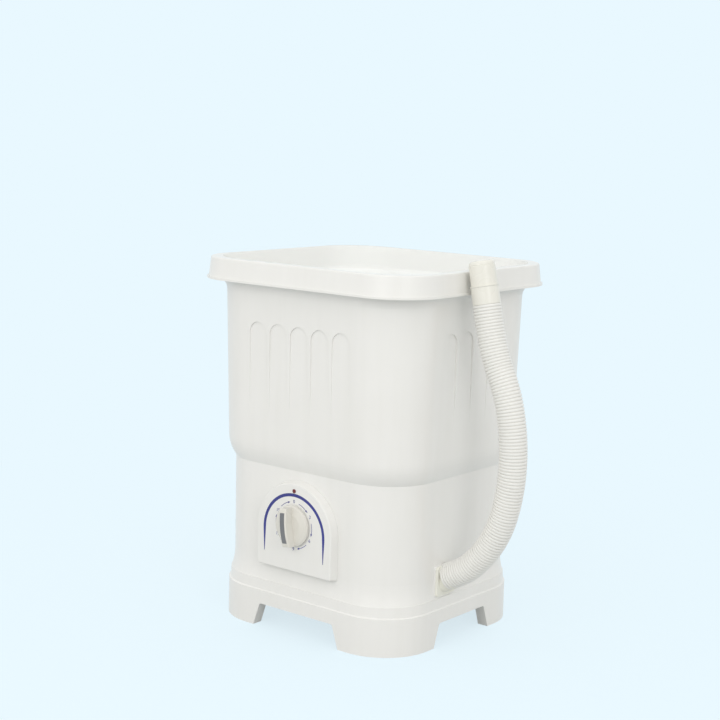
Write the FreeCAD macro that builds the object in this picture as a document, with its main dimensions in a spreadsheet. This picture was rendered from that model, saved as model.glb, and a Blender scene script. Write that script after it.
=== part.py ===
import FreeCAD, Part
import math
import os
import Sketcher

# Mini washing machine, in millimetres. +Z is up, the front faces -Y, and the origin is at floor level
# under the middle of the machine.

Vector = FreeCAD.Vector
Rotation = FreeCAD.Rotation
Placement = FreeCAD.Placement
Constraint = Sketcher.Constraint

SIZES = {
    # Whole machine: every level section is wider than deep by the same amount
    "total_height": 540,
    "wider_than_deep": 27,
    # Rim of the tub, with its down-turned skirt and lip
    "rim_width": 393,
    "rim_corner": 68,
    "rim_height": 31.5,
    "rim_draft": 4,
    "rim_wall": 3,
    "rim_round": 2.6,
    "lip_overhang": 2,
    "lip_height": 3,
    # Tub wall: a flare under the rim, a slight draft, and a rounded step in to the casing
    "flare_height": 16,
    "flare_reach": 7.5,
    "tub_width": 359.4,
    "tub_corner": 78,
    "tub_draft": 3.2,
    "tub_wall": 4,
    "step_height": 33,
    "step_inset": 7.7,
    "floor_thickness": 4,
    "floor_round": 16,
    # Flutes moulded into the four walls
    "front_flutes": 5,
    "side_flutes": 4,
    "flute_pitch": 38.5,
    "flute_width": 32,
    "flute_top": 453.5,
    "flute_length": 135,
    "flute_depth": 2,
    # Well in the floor for the pulsator, and the drain neck beside it
    "well_radius": 85,
    "well_depth": 12,
    "well_wall": 4,
    "drain_x": 110,
    "drain_bore": 14,
    "neck_radius": 17,
    "neck_length": 23,
    # Lower casing
    "casing_top": 245,
    "casing_wall": 3,
    "casing_flare": 3.4,
    "casing_flare_height": 30,
    "flange_width": 18,
    "flange_thickness": 4,
    "post_radius": 7,
    "post_x": 58,
    "post_inset": 8,
    "post_height": 86,
    # Plinth
    "base_height": 72,
    "base_width": 359,
    "base_corner": 81,
    "ridge_height": 55.4,
    "ridge_inset": 0.4,
    "ridge_step": 1.6,
    "shoulder_inset": 2.8,
    "base_wall": 3.5,
    "deck_height": 44,
    "deck_thickness": 4,
    "foot_depth": 17,
    "arch_height": 35,
    "front_arch": 140,
    "side_arch": 111,
    "arch_splay": 12,
    "arch_round": 5,
    "vent_count": 6,
    "vent_width": 5,
    "vent_length": 60,
    "vent_pitch": 13,
    "vent_y": -60,
    # Control panel
    "panel_width": 145,
    "panel_foot": 97,
    "panel_spring": 159.5,
    "panel_depth": 13,
    "panel_edge": 3,
    "panel_wall": 3,
    "panel_round": 1.6,
    "panel_corner": 3.5,
    "panel_boss": 4.5,
    "low_boss_x": 40,
    "low_boss_z": 114,
    "high_boss_x": 40,
    "high_boss_z": 203,
    "dial_z": 168.5,
    "dial_hole": 8,
    # Knob
    "knob_radius": 30,
    "knob_rim": 4,
    "knob_dome": 8,
    "knob_gap": 1.2,
    "knob_turn": 7,
    "grip_length": 56,
    "grip_width": 13,
    "grip_height": 23.2,
    "grip_crown": 4,
    "grip_round": 2,
    "pointer_length": 44,
    "pointer_width": 8,
    "pointer_depth": 1.2,
    "pointer_stand": 0.3,
    "socket_depth": 14,
    # Timer and lamp
    "timer_width": 50,
    "timer_height": 54,
    "timer_depth": 32,
    "timer_round": 4,
    "timer_bush": 5,
    "timer_bush_length": 6,
    "timer_shaft": 3,
    "timer_shaft_inside": 24,
    "timer_screw_x": 19,
    "timer_screw_bite": 7,
    "terminal_width": 25,
    "terminal_height": 10.8,
    "terminal_length": 8,
    "terminal_round": 1,
    "lens_z": 219,
    "lens_radius": 3,
    "lens_stand": 1.2,
    "lens_flange": 4.5,
    "lens_flange_depth": 1.5,
    "lamp_radius": 3.6,
    "lamp_depth": 12,
    "lamp_tip": 2,
    # Pulsator and its drive
    "pulsator_radius": 80,
    "pulsator_gap": 3,
    "pulsator_edge": 7,
    "pulsator_bevel": 3,
    "pulsator_bevel_rise": 2,
    "pulsator_shoulder": 4,
    "shoulder_rise": 1.5,
    "pulsator_rise": 4,
    "pulsator_skirt": 6,
    "crown_drop": 2,
    "pulsator_crown": 21,
    "pulsator_hub": 16,
    "fin_count": 6,
    "fin_width": 9,
    "fin_height": 10,
    "fin_inset": 6,
    "fin_foot": 4,
    "shaft_radius": 6,
    "shaft_tail": 5,
    "shaft_reach": 13,
    "socket_gap": 0.2,
    "housing_flange": 46,
    "housing_flange_depth": 6,
    "housing_hub": 17,
    "housing_cone": 8,
    "housing_taper": 2,
    "housing_length": 55,
    "housing_bore": 10,
    "housing_spigot": 14.8,
    "spigot_reach": 2.5,
    "bush_length": 20,
    "bush_inset": 1,
    "seal_depth": 7,
    "bolt_circle": 34,
    "bolt_boss": 6,
    "boss_skin": 1.5,
    "pulley_drop": 4,
    "pulley_radius": 75,
    "pulley_width": 18,
    "pulley_hub": 15,
    "hub_stand": 1,
    "pulley_web": 5,
    "pulley_rim": 4,
    "pulley_holes": 6,
    "pulley_hole_radius": 13,
    "pulley_hole_circle": 40,
    "groove_width": 10,
    "groove_foot": 4.5,
    "groove_depth": 9,
    "belt_drop": 0.5,
    "belt_depth": 6,
    "nut_width": 17,
    "nut_depth": 8,
    "shaft_stand": 3,
    # Motor
    "motor_x": -62,
    "motor_y": 80,
    "motor_radius": 52,
    "bell_radius": 50,
    "bell_depth": 20,
    "bell_wall": 4,
    "bell_round": 6,
    "bell_cavity": 41,
    "bell_hub": 12,
    "bearing_gap": 4,
    "stator_depth": 40,
    "stator_bore": 27,
    "air_gap": 0.5,
    "rotor_inset": 2,
    "motor_shaft": 4,
    "motor_shaft_stand": 2,
    "motor_pulley_radius": 20,
    "motor_hub": 10,
    "motor_bolt_circle": 46,
    "mount_depth": 8,
    "mount_radius": 9,
    "mount_spacing": 104,
    "bracket_width": 126,
    "bracket_thickness": 3,
    "bracket_corner": 14,
    "weld_nut_radius": 6,
    "weld_nut_depth": 5,
    # Capacitor
    "capacitor_x": 85,
    "capacitor_y": 95,
    "capacitor_radius": 18,
    "capacitor_height": 60,
    "capacitor_foot": 1.5,
    "capacitor_bevel": 2,
    "terminal_stand": 5,
    "clip_wall": 2.5,
    "clip_height": 16,
    "clip_foot": 62,
    "clip_corner": 4,
    # Drain
    "strainer_radius": 22,
    "strainer_depth": 2.5,
    "strainer_skirt": 8,
    "strainer_wall": 2,
    "strainer_slots": 5,
    "slot_width": 2.4,
    "slot_pitch": 4.6,
    "slot_length": 19,
    "elbow_wall": 3.5,
    "elbow_bend": 30,
    "elbow_end": 158,
    "clamp_wall": 2,
    "clamp_width": 7,
    "clamp_inset": 4,
    "side_clamp_inset": 3,
    "outlet_y": -41,
    "outlet_z": 97,
    "outlet_width": 44,
    "outlet_corner": 4,
    "outlet_plate": 3,
    "outlet_stand": 3.2,
    "outlet_pad": 4,
    "pad_margin": 1,
    "outlet_tail": 26,
    "outlet_bore": 11.5,
    "outlet_tilt": 33,
    "spigot_radius": 15.9,
    "spigot_root": 7.5,
    "spigot_length": 6,
    "collar_start": 10.5,
    "collar_end": 13.2,
    "collar_radius": 17.6,
    "outlet_nut_radius": 25,
    "outlet_nut_depth": 8,
    "outlet_seal_depth": 2,
    "outlet_seal_edge": 6,
    # Ribbed hose, its cuff, stopper and clip
    "hose_crest": 19.6,
    "hose_valley": 18.3,
    "hose_bore": 16.2,
    "rib_count": 100,
    "cuff_radius": 19.2,
    "cuff_insert": 24,
    "cuff_neck": 25,
    "cuff_ridge": 20.1,
    "ridge_width": 2,
    "cuff_top": 16.2,
    "cuff_length": 50,
    "cap_dome": 9,
    "cap_plug": 14,
    "cap_ring": 0.6,
    "hook_wall": 2,
    "hook_width": 13,
    "hook_strap": 2.6,
    "hook_finger": 13,
    "hook_rise": 6,
    "hook_arm": 11,
    # Cord inlet at the back
    "gland_x": 70,
    "gland_z": 150,
    "gland_neck": 8,
    "gland_flange": 11.5,
    "gland_depth": 4,
    "gland_bore": 3.6,
    "gland_lip": 1.5,
    "gland_hold": 3,
    # Screws
    "screw_radius": 2,
    "screw_head": 4.2,
    "screw_head_depth": 2.6,
    "small_screw": 1.5,
    "small_head": 2.9,
    "small_head_depth": 2,
    "bolt_radius": 2.5,
    "bolt_head": 4.5,
    "bolt_head_depth": 4,
    "tub_screw_x": 78,
    "tub_screw_y": 62,
    "tub_screw_inset": 9,
    "tub_screw_bite": 5.5,
    "post_bite": 18,
    "pulsator_screw": 14,
    # Clearances
    "seat_gap": 0.15,
    "push_fit": 0.03,
    "running_fit": 0.05,
    "free_hole": 0.3,
    "side_gap": 0.5,
    "end_gap": 1,
    "overcut": 1,
}

# Middle line of the drain hose as (x, z), from the outlet's collar to the cuff, all at outlet_y
HOSE_ROUTE = [(189.4, 104.3), (244.8, 140.2), (271.5, 197), (282, 262), (281, 320), (268.5, 380),
              (240.5, 437), (227.5, 498.6)]

doc = FreeCAD.newDocument("MiniWasher")
sheet = doc.addObject("Spreadsheet::Sheet", "Sizes")
for row, (name, number) in enumerate(SIZES.items(), 1):
    sheet.set(f"A{row}", name)
    sheet.set(f"B{row}", str(number))
    sheet.setAlias(f"B{row}", name)
doc.recompute()


class Size:
    """A size with its value now and the sheet formula that gives it."""

    def __init__(self, value, formula):
        self.value = float(value)
        self.formula = formula

    def __add__(self, other):
        other = as_size(other)
        return Size(self.value + other.value, f"({self.formula} + {other.formula})")

    def __sub__(self, other):
        other = as_size(other)
        return Size(self.value - other.value, f"({self.formula} - {other.formula})")

    def __mul__(self, other):
        other = as_size(other)
        return Size(self.value * other.value, f"({self.formula} * {other.formula})")

    def __truediv__(self, other):
        other = as_size(other)
        return Size(self.value / other.value, f"({self.formula} / {other.formula})")

    def __neg__(self):
        return Size(-self.value, f"(-1 * {self.formula})")

    def __radd__(self, other):
        return as_size(other) + self

    def __rmul__(self, other):
        return as_size(other) * self

    def __rsub__(self, other):
        return as_size(other) - self


def as_size(number):
    if isinstance(number, Size):
        return number
    return Size(number, f"({float(number)!r})")


def root(size):
    return Size(math.sqrt(size.value), f"sqrt({size.formula})")


class Sheet:
    """The sheet's cells by name."""

    def __getattr__(self, name):
        return Size(sheet.get(name), f"Sizes.{name}")


d = Sheet()
nodes = {}

FRONT = Rotation(Vector(1, 0, 0), 90)
BACK = Rotation(Vector(1, 0, 0), -90)
RIGHT = Rotation(Vector(0, 1, 0), 90)
UPRIGHT = Rotation()


# Levels and widths that several pieces share
rim_z = d.total_height
lip_z = rim_z - d.rim_height
flare_z = lip_z - d.flare_height
step_z = d.casing_top + d.step_height
floor_z = d.casing_top + d.floor_thickness
well_z = d.casing_top - d.well_depth
wall_top_width = d.tub_width + 2 * d.tub_draft
mouth_width = wall_top_width + 2 * d.flare_reach
skirt_width = d.rim_width + 2 * d.rim_draft
lip_width = skirt_width + 2 * d.lip_overhang
casing_width = d.tub_width - 2 * d.step_inset
casing_side = casing_width / 2
casing_front = casing_side - d.wider_than_deep / 2
panel_back = casing_front + d.seat_gap
panel_face = panel_back + d.panel_depth
outlet_seat = casing_side + d.outlet_stand
outlet_face = outlet_seat + d.outlet_plate
outlet_inside = casing_side - d.outlet_pad


def body(label, node=True):
    piece = doc.addObject("PartDesign::Body", label)
    piece.Label = label
    if node:
        nodes[label] = piece
    return piece


def put(piece, x=0, y=0, z=0, turn=UPRIGHT):
    """Place a piece, with its position bound to the sheet."""
    place = [as_size(value) for value in (x, y, z)]
    piece.Placement = Placement(Vector(*[size.value for size in place]), turn)
    for axis, size in zip("xyz", place):
        piece.setExpression(f"Placement.Base.{axis}", size.formula)
    return piece


def bind(item, prop, size):
    item.setExpression(prop, as_size(size).formula)


def origin_plane(owner, role):
    return [item for item in owner.Origin.OriginFeatures if item.Role == role][0]


def sketch(owner, label, plane="XY_Plane", offset=0):
    drawing = owner.newObject("Sketcher::SketchObject", label)
    drawing.AttachmentSupport = [(origin_plane(owner, plane), "")]
    drawing.MapMode = "FlatFace"
    bind(drawing, "AttachmentOffset.Base.z", offset)
    return drawing


def dimension(drawing, rule, size):
    index = drawing.addConstraint(rule)
    drawing.setExpression(f"Constraints[{index}]", size.formula)


def pin_point(drawing, item, point, u, v):
    """Fix a point of a sketch by its two distances from the sketch's origin."""
    for kind, axis, size in (("DistanceX", -2, as_size(u)), ("DistanceY", -1, as_size(v))):
        if size.value == 0:
            drawing.addConstraint(Constraint("PointOnObject", item, point, axis))
        else:
            dimension(drawing, Constraint(kind, -1, 1, item, point, size.value), size)


def polygon(owner, label, points, plane="XZ_Plane", offset=0):
    drawing = sketch(owner, label, plane, offset)
    places = [(as_size(u), as_size(v)) for u, v in points]
    count = len(places)
    for item in range(count):
        start, end = places[item], places[(item + 1) % count]
        drawing.addGeometry(Part.LineSegment(Vector(start[0].value, start[1].value, 0),
                                             Vector(end[0].value, end[1].value, 0)))
    for item in range(count):
        drawing.addConstraint(Constraint("Coincident", item, 2, (item + 1) % count, 1))
    for item, (u, v) in enumerate(places):
        pin_point(drawing, item, 1, u, v)
    return drawing


def circles(owner, label, centres, radius, plane="XY_Plane", offset=0):
    drawing = sketch(owner, label, plane, offset)
    radius = as_size(radius)
    for item, (u, v) in enumerate(centres):
        centre = Vector(as_size(u).value, as_size(v).value, 0)
        drawing.addGeometry(Part.Circle(centre, Vector(0, 0, 1), radius.value))
        pin_point(drawing, item, 3, u, v)
        if item:
            drawing.addConstraint(Constraint("Equal", 0, item))
    dimension(drawing, Constraint("Radius", 0, radius.value), radius)
    return drawing


def rounded_box(owner, label, width, depth, corner, plane="XY_Plane", offset=0, centre=(0, 0)):
    """Rounded rectangle about a centre."""
    drawing = sketch(owner, label, plane, offset)
    width, depth, corner = as_size(width), as_size(depth), as_size(corner)
    u, v = as_size(centre[0]), as_size(centre[1])
    half_u, half_v, r = width.value / 2, depth.value / 2, corner.value
    middle = Vector(u.value, v.value, 0)
    quarter = math.pi / 2

    def line(start_u, start_v, end_u, end_v):
        return Part.LineSegment(middle + Vector(start_u, start_v, 0), middle + Vector(end_u, end_v, 0))

    def arc(centre_u, centre_v, angle):
        circle = Part.Circle(middle + Vector(centre_u, centre_v, 0), Vector(0, 0, 1), r)
        return Part.ArcOfCircle(circle, angle, angle + quarter)

    drawing.addGeometry([
        line(r - half_u, -half_v, half_u - r, -half_v), arc(half_u - r, r - half_v, -quarter),
        line(half_u, r - half_v, half_u, half_v - r), arc(half_u - r, half_v - r, 0),
        line(half_u - r, half_v, r - half_u, half_v), arc(r - half_u, half_v - r, quarter),
        line(-half_u, half_v - r, -half_u, r - half_v), arc(r - half_u, r - half_v, 2 * quarter),
    ])
    for item in range(8):
        drawing.addConstraint(Constraint("Tangent", item, 2, (item + 1) % 8, 1))
    for item, rule in ((0, "Horizontal"), (2, "Vertical"), (4, "Horizontal"), (6, "Vertical")):
        drawing.addConstraint(Constraint(rule, item))
    for item in (3, 5, 7):
        drawing.addConstraint(Constraint("Equal", 1, item))
    dimension(drawing, Constraint("DistanceX", 6, 1, 2, 1, width.value), width)
    dimension(drawing, Constraint("DistanceY", 0, 1, 4, 1, depth.value), depth)
    dimension(drawing, Constraint("Radius", 1, r), corner)
    pin_point(drawing, 1, 3, u + width / 2 - corner, v - depth / 2 + corner)
    return drawing


def level(owner, label, z, width, corner):
    """Level section of the machine: a rounded rectangle at height z."""
    return rounded_box(owner, label, width, width - d.wider_than_deep, corner, offset=z)


def add_arch(drawing, centre, half_width, foot, spring):
    """Upright outline with a half-round top."""
    centre, half_width = as_size(centre), as_size(half_width)
    foot, spring = as_size(foot), as_size(spring)
    u, r = centre.value, half_width.value
    low, high = foot.value, spring.value
    first = drawing.GeometryCount
    circle = Part.Circle(Vector(u, high, 0), Vector(0, 0, 1), r)
    drawing.addGeometry([
        Part.LineSegment(Vector(u - r, low, 0), Vector(u + r, low, 0)),
        Part.LineSegment(Vector(u + r, low, 0), Vector(u + r, high, 0)),
        Part.ArcOfCircle(circle, 0, math.pi),
        Part.LineSegment(Vector(u - r, high, 0), Vector(u - r, low, 0)),
    ])
    drawing.addConstraint(Constraint("Coincident", first, 2, first + 1, 1))
    drawing.addConstraint(Constraint("Tangent", first + 1, 2, first + 2, 1))
    drawing.addConstraint(Constraint("Tangent", first + 2, 2, first + 3, 1))
    drawing.addConstraint(Constraint("Coincident", first + 3, 2, first, 1))
    drawing.addConstraint(Constraint("Horizontal", first))
    drawing.addConstraint(Constraint("Vertical", first + 1))
    drawing.addConstraint(Constraint("Vertical", first + 3))
    pin_point(drawing, first + 2, 3, centre, spring)
    dimension(drawing, Constraint("Radius", first + 2, r), half_width)
    dimension(drawing, Constraint("DistanceY", -1, 1, first, 1, low), foot)


def arch(owner, label, half_width, foot, spring, offset):
    drawing = sketch(owner, label, "XZ_Plane", offset)
    add_arch(drawing, 0, half_width, foot, spring)
    return drawing


def feature(owner, kind, label, drawing):
    item = owner.newObject(f"PartDesign::{kind}", label)
    item.Profile = drawing
    return item


def pad(owner, label, drawing, length, back=False, symmetric=False):
    """Solid drawn out of a sketch, along its normal unless back is set."""
    item = feature(owner, "Pad", label, drawing)
    bind(item, "Length", length)
    item.Reversed = back
    if symmetric:
        item.SideType = "Symmetric"
    return item


def pocket(owner, label, drawing, length, out=False, symmetric=False):
    """Cut made from a sketch, against its normal unless out is set."""
    item = feature(owner, "Pocket", label, drawing)
    bind(item, "Length", length)
    item.Reversed = out
    if symmetric:
        item.SideType = "Symmetric"
    doc.recompute()
    before = item.BaseFeature.Shape.Volume
    if not item.Shape.Volume < before:
        raise ValueError(f"{owner.Label}: {label} cuts nothing")
    return item


def revolve(owner, label, points):
    """Solid of revolution about Z from (radius, height) points."""
    drawing = polygon(owner, f"{label}_profile", points)
    item = feature(owner, "Revolution", label, drawing)
    item.ReferenceAxis = (drawing, ["V_Axis"])
    item.Angle = 360
    return item


def loft(owner, label, sections, ruled=True, cut=False):
    item = feature(owner, "SubtractiveLoft" if cut else "AdditiveLoft", label, sections[0])
    item.Sections = sections[1:]
    item.Ruled = ruled
    return item


def mirror(owner, label, original, plane):
    item = owner.newObject("PartDesign::Mirrored", label)
    item.Originals = [original]
    item.MirrorPlane = (origin_plane(owner, plane), [""])
    owner.Tip = item
    return item


def round_edges(owner, label, base, radius, chosen):
    """Fillet on the edges of the last feature that a test picks."""
    doc.recompute()
    names = [f"Edge{index}" for index, edge in enumerate(base.Shape.Edges, 1) if chosen(edge)]
    item = owner.newObject("PartDesign::Fillet", label)
    item.Base = (base, names)
    bind(item, "Radius", radius)
    doc.recompute()
    return item


def on_plane(axis, value):
    """Test for edges that lie in the plane where a coordinate has one value."""
    def chosen(edge):
        return all(abs(getattr(vertex.Point, axis) - value) < 0.01 for vertex in edge.Vertexes)
    return chosen


def spread(u, v):
    """The four places at plus and minus u and v."""
    return [(u, v), (-u, v), (-u, -v), (u, -v)]


def ring(count, radius):
    """Places evenly round a circle."""
    turns = [2 * math.pi * (index + 0.5) / count for index in range(count)]
    return [(radius * math.cos(turn), radius * math.sin(turn)) for turn in turns]


def lean(reach, height, share):
    """How far an arc that starts upright leans out at a share of its height."""
    radius = (height * height + reach * reach) / (2 * reach)
    run = height * share
    return radius - root(radius * radius - run * run)


def fasteners(label, centres, head, head_depth, shank, length, plane="XY_Plane", offset=0, flip=False):
    """Group of alike screws: heads on one side of the offset plane, shanks on the other."""
    group = body(label)
    group.AllowCompound = True
    shanks = circles(group, "shanks", centres, shank, plane, offset)
    pad(group, "shank", shanks, length, back=flip)
    heads = circles(group, "heads", centres, head, plane, offset)
    pad(group, "head", heads, head_depth, back=not flip)
    return group


# Where the screws go
tub_screws_front = casing_front - d.tub_screw_inset
tub_screws_side = casing_side - d.tub_screw_inset
tub_screw_places = spread(d.tub_screw_x, tub_screws_front) + spread(tub_screws_side, d.tub_screw_y)
post_places = spread(d.post_x, casing_front - d.post_inset)
panel_screw_places = [(d.low_boss_x, d.low_boss_z), (-d.low_boss_x, d.low_boss_z),
                      (d.high_boss_x, d.high_boss_z), (-d.high_boss_x, d.high_boss_z)]
timer_screw_places = [(d.timer_screw_x, d.dial_z), (-d.timer_screw_x, d.dial_z)]
housing_bolt_places = ring(4, d.bolt_circle)
motor_bolt_places = ring(4, d.motor_bolt_circle)


def make_tub():
    """Tub with flutes, rim and skirt, drawn as one moulding and parted into its walls and its floor."""
    tub = body("tub_moulding", node=False)
    # The skirt leans in to a rounded top edge
    drafted = d.rim_draft * d.rim_round / d.rim_height
    edge_rings = []
    for index in range(5):
        turn = math.radians(22.5 * index)
        inset = d.rim_round * (1 - math.cos(turn)) - drafted
        edge_rings.append(level(tub, f"edge_{index}", rim_z - d.rim_round * (1 - math.sin(turn)),
                                d.rim_width - 2 * inset, d.rim_corner - inset))
    skirt_foot = level(tub, "skirt_foot", lip_z, skirt_width, d.rim_corner + d.rim_draft)
    loft(tub, "skirt", [skirt_foot, edge_rings[0]])
    loft(tub, "rim_edge", edge_rings)
    pad(tub, "lip", level(tub, "lip_line", lip_z, lip_width, d.rim_corner + d.rim_draft + d.lip_overhang),
        d.lip_height)
    inner = skirt_width - 2 * d.rim_wall
    inner_corner = d.rim_corner + d.rim_draft - d.rim_wall
    loft(tub, "channel", [level(tub, "channel_foot", lip_z, inner, inner_corner),
                          level(tub, "channel_top", rim_z - d.rim_wall, inner - 2 * d.rim_draft,
                                inner_corner - d.rim_draft)], cut=True)

    quarters = [index / 4 for index in range(5)]
    step_rings = [level(tub, f"step_{index}", step_z - d.step_height * share,
                        d.tub_width - 2 * lean(d.step_inset, d.step_height, share), d.tub_corner)
                  for index, share in enumerate(quarters)]
    flare_rings = [level(tub, f"flare_{index}", flare_z + d.flare_height * share,
                         wall_top_width + 2 * lean(d.flare_reach, d.flare_height, share), d.tub_corner)
                   for index, share in enumerate(quarters)]
    mouth = level(tub, "mouth_top", rim_z - d.rim_wall / 2, mouth_width, d.tub_corner)
    loft(tub, "step", step_rings, ruled=False)
    loft(tub, "wall", [step_rings[0], flare_rings[0]])
    loft(tub, "flare", flare_rings, ruled=False)
    loft(tub, "mouth", [flare_rings[-1], mouth])

    # The hollow keeps one wall thickness and turns into the floor with a round corner
    wall = d.tub_wall
    corner = d.tub_corner - wall
    hollow = []
    for index in range(5):
        turn = math.radians(22.5 * index)
        z = floor_z + d.floor_round * (1 - math.cos(turn))
        rounding = d.floor_round * (1 - math.sin(turn))
        inset = wall + rounding + lean(d.step_inset, d.step_height, (step_z - z) / d.step_height)
        hollow.append(level(tub, f"hollow_{index}", z, d.tub_width - 2 * inset, corner - rounding))
    hollow.append(level(tub, "hollow_step", step_z, d.tub_width - 2 * wall, corner))
    throat = [level(tub, f"throat_{index}", flare_z + d.flare_height * share,
                    wall_top_width + 2 * lean(d.flare_reach, d.flare_height, share) - 2 * wall, corner)
              for index, share in enumerate(quarters)]
    opening = level(tub, "opening", rim_z + d.overcut, mouth_width - 2 * wall, corner)
    loft(tub, "hollow_floor", hollow, cut=True)
    loft(tub, "hollow_wall", [hollow[-1], throat[0]], cut=True)
    loft(tub, "hollow_flare", throat, cut=True)
    loft(tub, "hollow_mouth", [throat[-1], opening], cut=True)

    # The flutes' floors stand upright behind the drafted wall, so they fade out downwards
    drawn_in = d.tub_draft * (d.flute_top - step_z) / (flare_z - step_z) - d.flute_depth
    spring = d.flute_top - d.flute_width / 2
    front_floor = (d.tub_width - d.wider_than_deep) / 2 + drawn_in
    side_floor = d.tub_width / 2 + drawn_in
    for label, plane, floor, count in (("front", "XZ_Plane", front_floor, d.front_flutes),
                                       ("side", "YZ_Plane", side_floor, d.side_flutes)):
        drawing = sketch(tub, f"{label}_flutes", plane, floor)
        for index in range(int(count.value)):
            centre = d.flute_pitch * (index - (count.value - 1) / 2)
            add_arch(drawing, centre, d.flute_width / 2, d.flute_top - d.flute_length, spring)
        cut = pocket(tub, f"{label}_flute_cut", drawing, d.flute_depth + d.tub_draft, out=True)
        mirror(tub, f"{label}_flute_pair", cut, plane)

    # Well for the pulsator, with bosses for the bearing housing, and the drain neck
    pad(tub, "well_shell", circles(tub, "well_outside", [(0, 0)], d.well_radius + d.well_wall,
                                   offset=floor_z - d.floor_thickness / 2),
        d.well_depth + d.floor_thickness / 2, back=True)
    pocket(tub, "well", circles(tub, "well_inside", [(0, 0)], d.well_radius, offset=floor_z), d.well_depth)
    boss_top = well_z + d.floor_thickness + d.spigot_reach
    pad(tub, "bosses", circles(tub, "boss_rounds", housing_bolt_places, d.bolt_boss, offset=boss_top),
        d.spigot_reach + d.floor_thickness / 2, back=True)
    pocket(tub, "boss_holes", circles(tub, "boss_bores", housing_bolt_places, d.bolt_radius + d.push_fit,
                                      offset=well_z),
           d.spigot_reach + d.floor_thickness - d.boss_skin, out=True)
    pocket(tub, "shaft_hole", circles(tub, "shaft_round", [(0, 0)], d.housing_spigot + d.push_fit,
                                      offset=floor_z), d.well_depth + d.floor_thickness + d.overcut)
    drain = [(d.drain_x, d.outlet_y)]
    neck_top = floor_z - d.floor_thickness / 2
    pad(tub, "neck", circles(tub, "neck_round", drain, d.neck_radius, offset=neck_top),
        d.neck_length + d.floor_thickness / 2, back=True)
    pocket(tub, "neck_bore", circles(tub, "neck_hole", drain, d.drain_bore, offset=floor_z + d.overcut),
           d.neck_length + d.floor_thickness + 2 * d.overcut)
    pocket(tub, "screw_holes", circles(tub, "screw_bores", tub_screw_places, d.screw_radius + d.push_fit,
                                       offset=d.casing_top), d.tub_screw_bite, out=True)

    # The two pieces meet where the floor's rounding ends
    slab = doc.addObject("Part::Box", "floor_slab")
    bind(slab, "Length", lip_width)
    bind(slab, "Width", lip_width)
    bind(slab, "Height", floor_z + d.floor_round)
    put(slab, -lip_width / 2, -lip_width / 2)
    for label, kind in (("wash_tub", "Part::Cut"), ("tub_floor", "Part::Common")):
        piece = doc.addObject(kind, label)
        piece.Label = label
        piece.Base = tub
        piece.Tool = slab
        nodes[label] = piece


def make_casing():
    """Skirt round the machinery, with an inward flange that carries the tub."""
    casing = body("lower_casing")
    flare_top = d.base_height + d.casing_flare_height
    inner_top = d.casing_top - d.flange_thickness

    def wall(inset, name, top, cut):
        width, corner = casing_width - 2 * inset, d.tub_corner - inset
        flare = [level(casing, f"{name}_flare_{index}", flare_top - d.casing_flare_height * index / 4,
                       width + 2 * lean(d.casing_flare, d.casing_flare_height, as_size(index / 4)), corner)
                 for index in range(5)]
        upper = level(casing, f"{name}_top", top, width, corner)
        loft(casing, f"{name}_upper", [flare[0], upper], cut=cut)
        loft(casing, f"{name}_lower", flare, ruled=False, cut=cut)

    wall(as_size(0), "outside", d.casing_top, False)
    wall(d.casing_wall, "inside", inner_top, True)
    mouth = level(casing, "flange_mouth", d.casing_top, casing_width - 2 * d.flange_width,
                  d.tub_corner - d.flange_width)
    pocket(casing, "flange_hole", mouth, d.flange_thickness + d.overcut)

    # Posts that stand on the plinth's deck, and a flat pad for the drain outlet
    pad(casing, "posts", circles(casing, "post_rounds", post_places, d.post_radius, offset=d.deck_height),
        d.post_height)
    pad_width = d.outlet_width + 2 * d.pad_margin
    seat = rounded_box(casing, "outlet_pad", pad_width, pad_width, d.outlet_corner, "YZ_Plane",
                       outlet_inside, (d.outlet_y, d.outlet_z))
    pad(casing, "outlet_seat", seat, outlet_seat - outlet_inside)

    # Holes for what goes through the walls
    pocket(casing, "post_holes", circles(casing, "post_bores", post_places, d.screw_radius + d.push_fit,
                                         offset=d.deck_height), d.post_bite, out=True)
    pocket(casing, "tub_holes", circles(casing, "tub_bores", tub_screw_places, d.screw_radius + d.free_hole,
                                        offset=d.casing_top), d.flange_thickness + d.overcut)
    outlet_hole = circles(casing, "outlet_bore", [(d.outlet_y, d.outlet_z)], d.neck_radius + d.free_hole,
                          "YZ_Plane", outlet_seat + d.overcut)
    pocket(casing, "outlet_hole", outlet_hole, outlet_seat - outlet_inside + 2 * d.overcut)
    wall_cut = d.casing_wall + 2 * d.overcut
    for label, centres, radius in (
            ("timer", [(0, d.dial_z)], d.timer_bush + d.push_fit),
            ("timer_screw", timer_screw_places, d.small_screw + d.free_hole),
            ("panel_screw", panel_screw_places, d.small_screw + d.free_hole),
            ("lamp", [(0, d.lens_z)], d.lamp_radius + d.push_fit)):
        drawing = circles(casing, f"{label}_bore", centres, radius, "XZ_Plane",
                          casing_front + d.overcut)
        pocket(casing, f"{label}_hole", drawing, wall_cut)
    gland = circles(casing, "gland_bore", [(d.gland_x, d.gland_z)], d.gland_neck + d.push_fit, "XZ_Plane",
                    -casing_front - d.overcut)
    pocket(casing, "gland_hole", gland, wall_cut, out=True)


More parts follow.
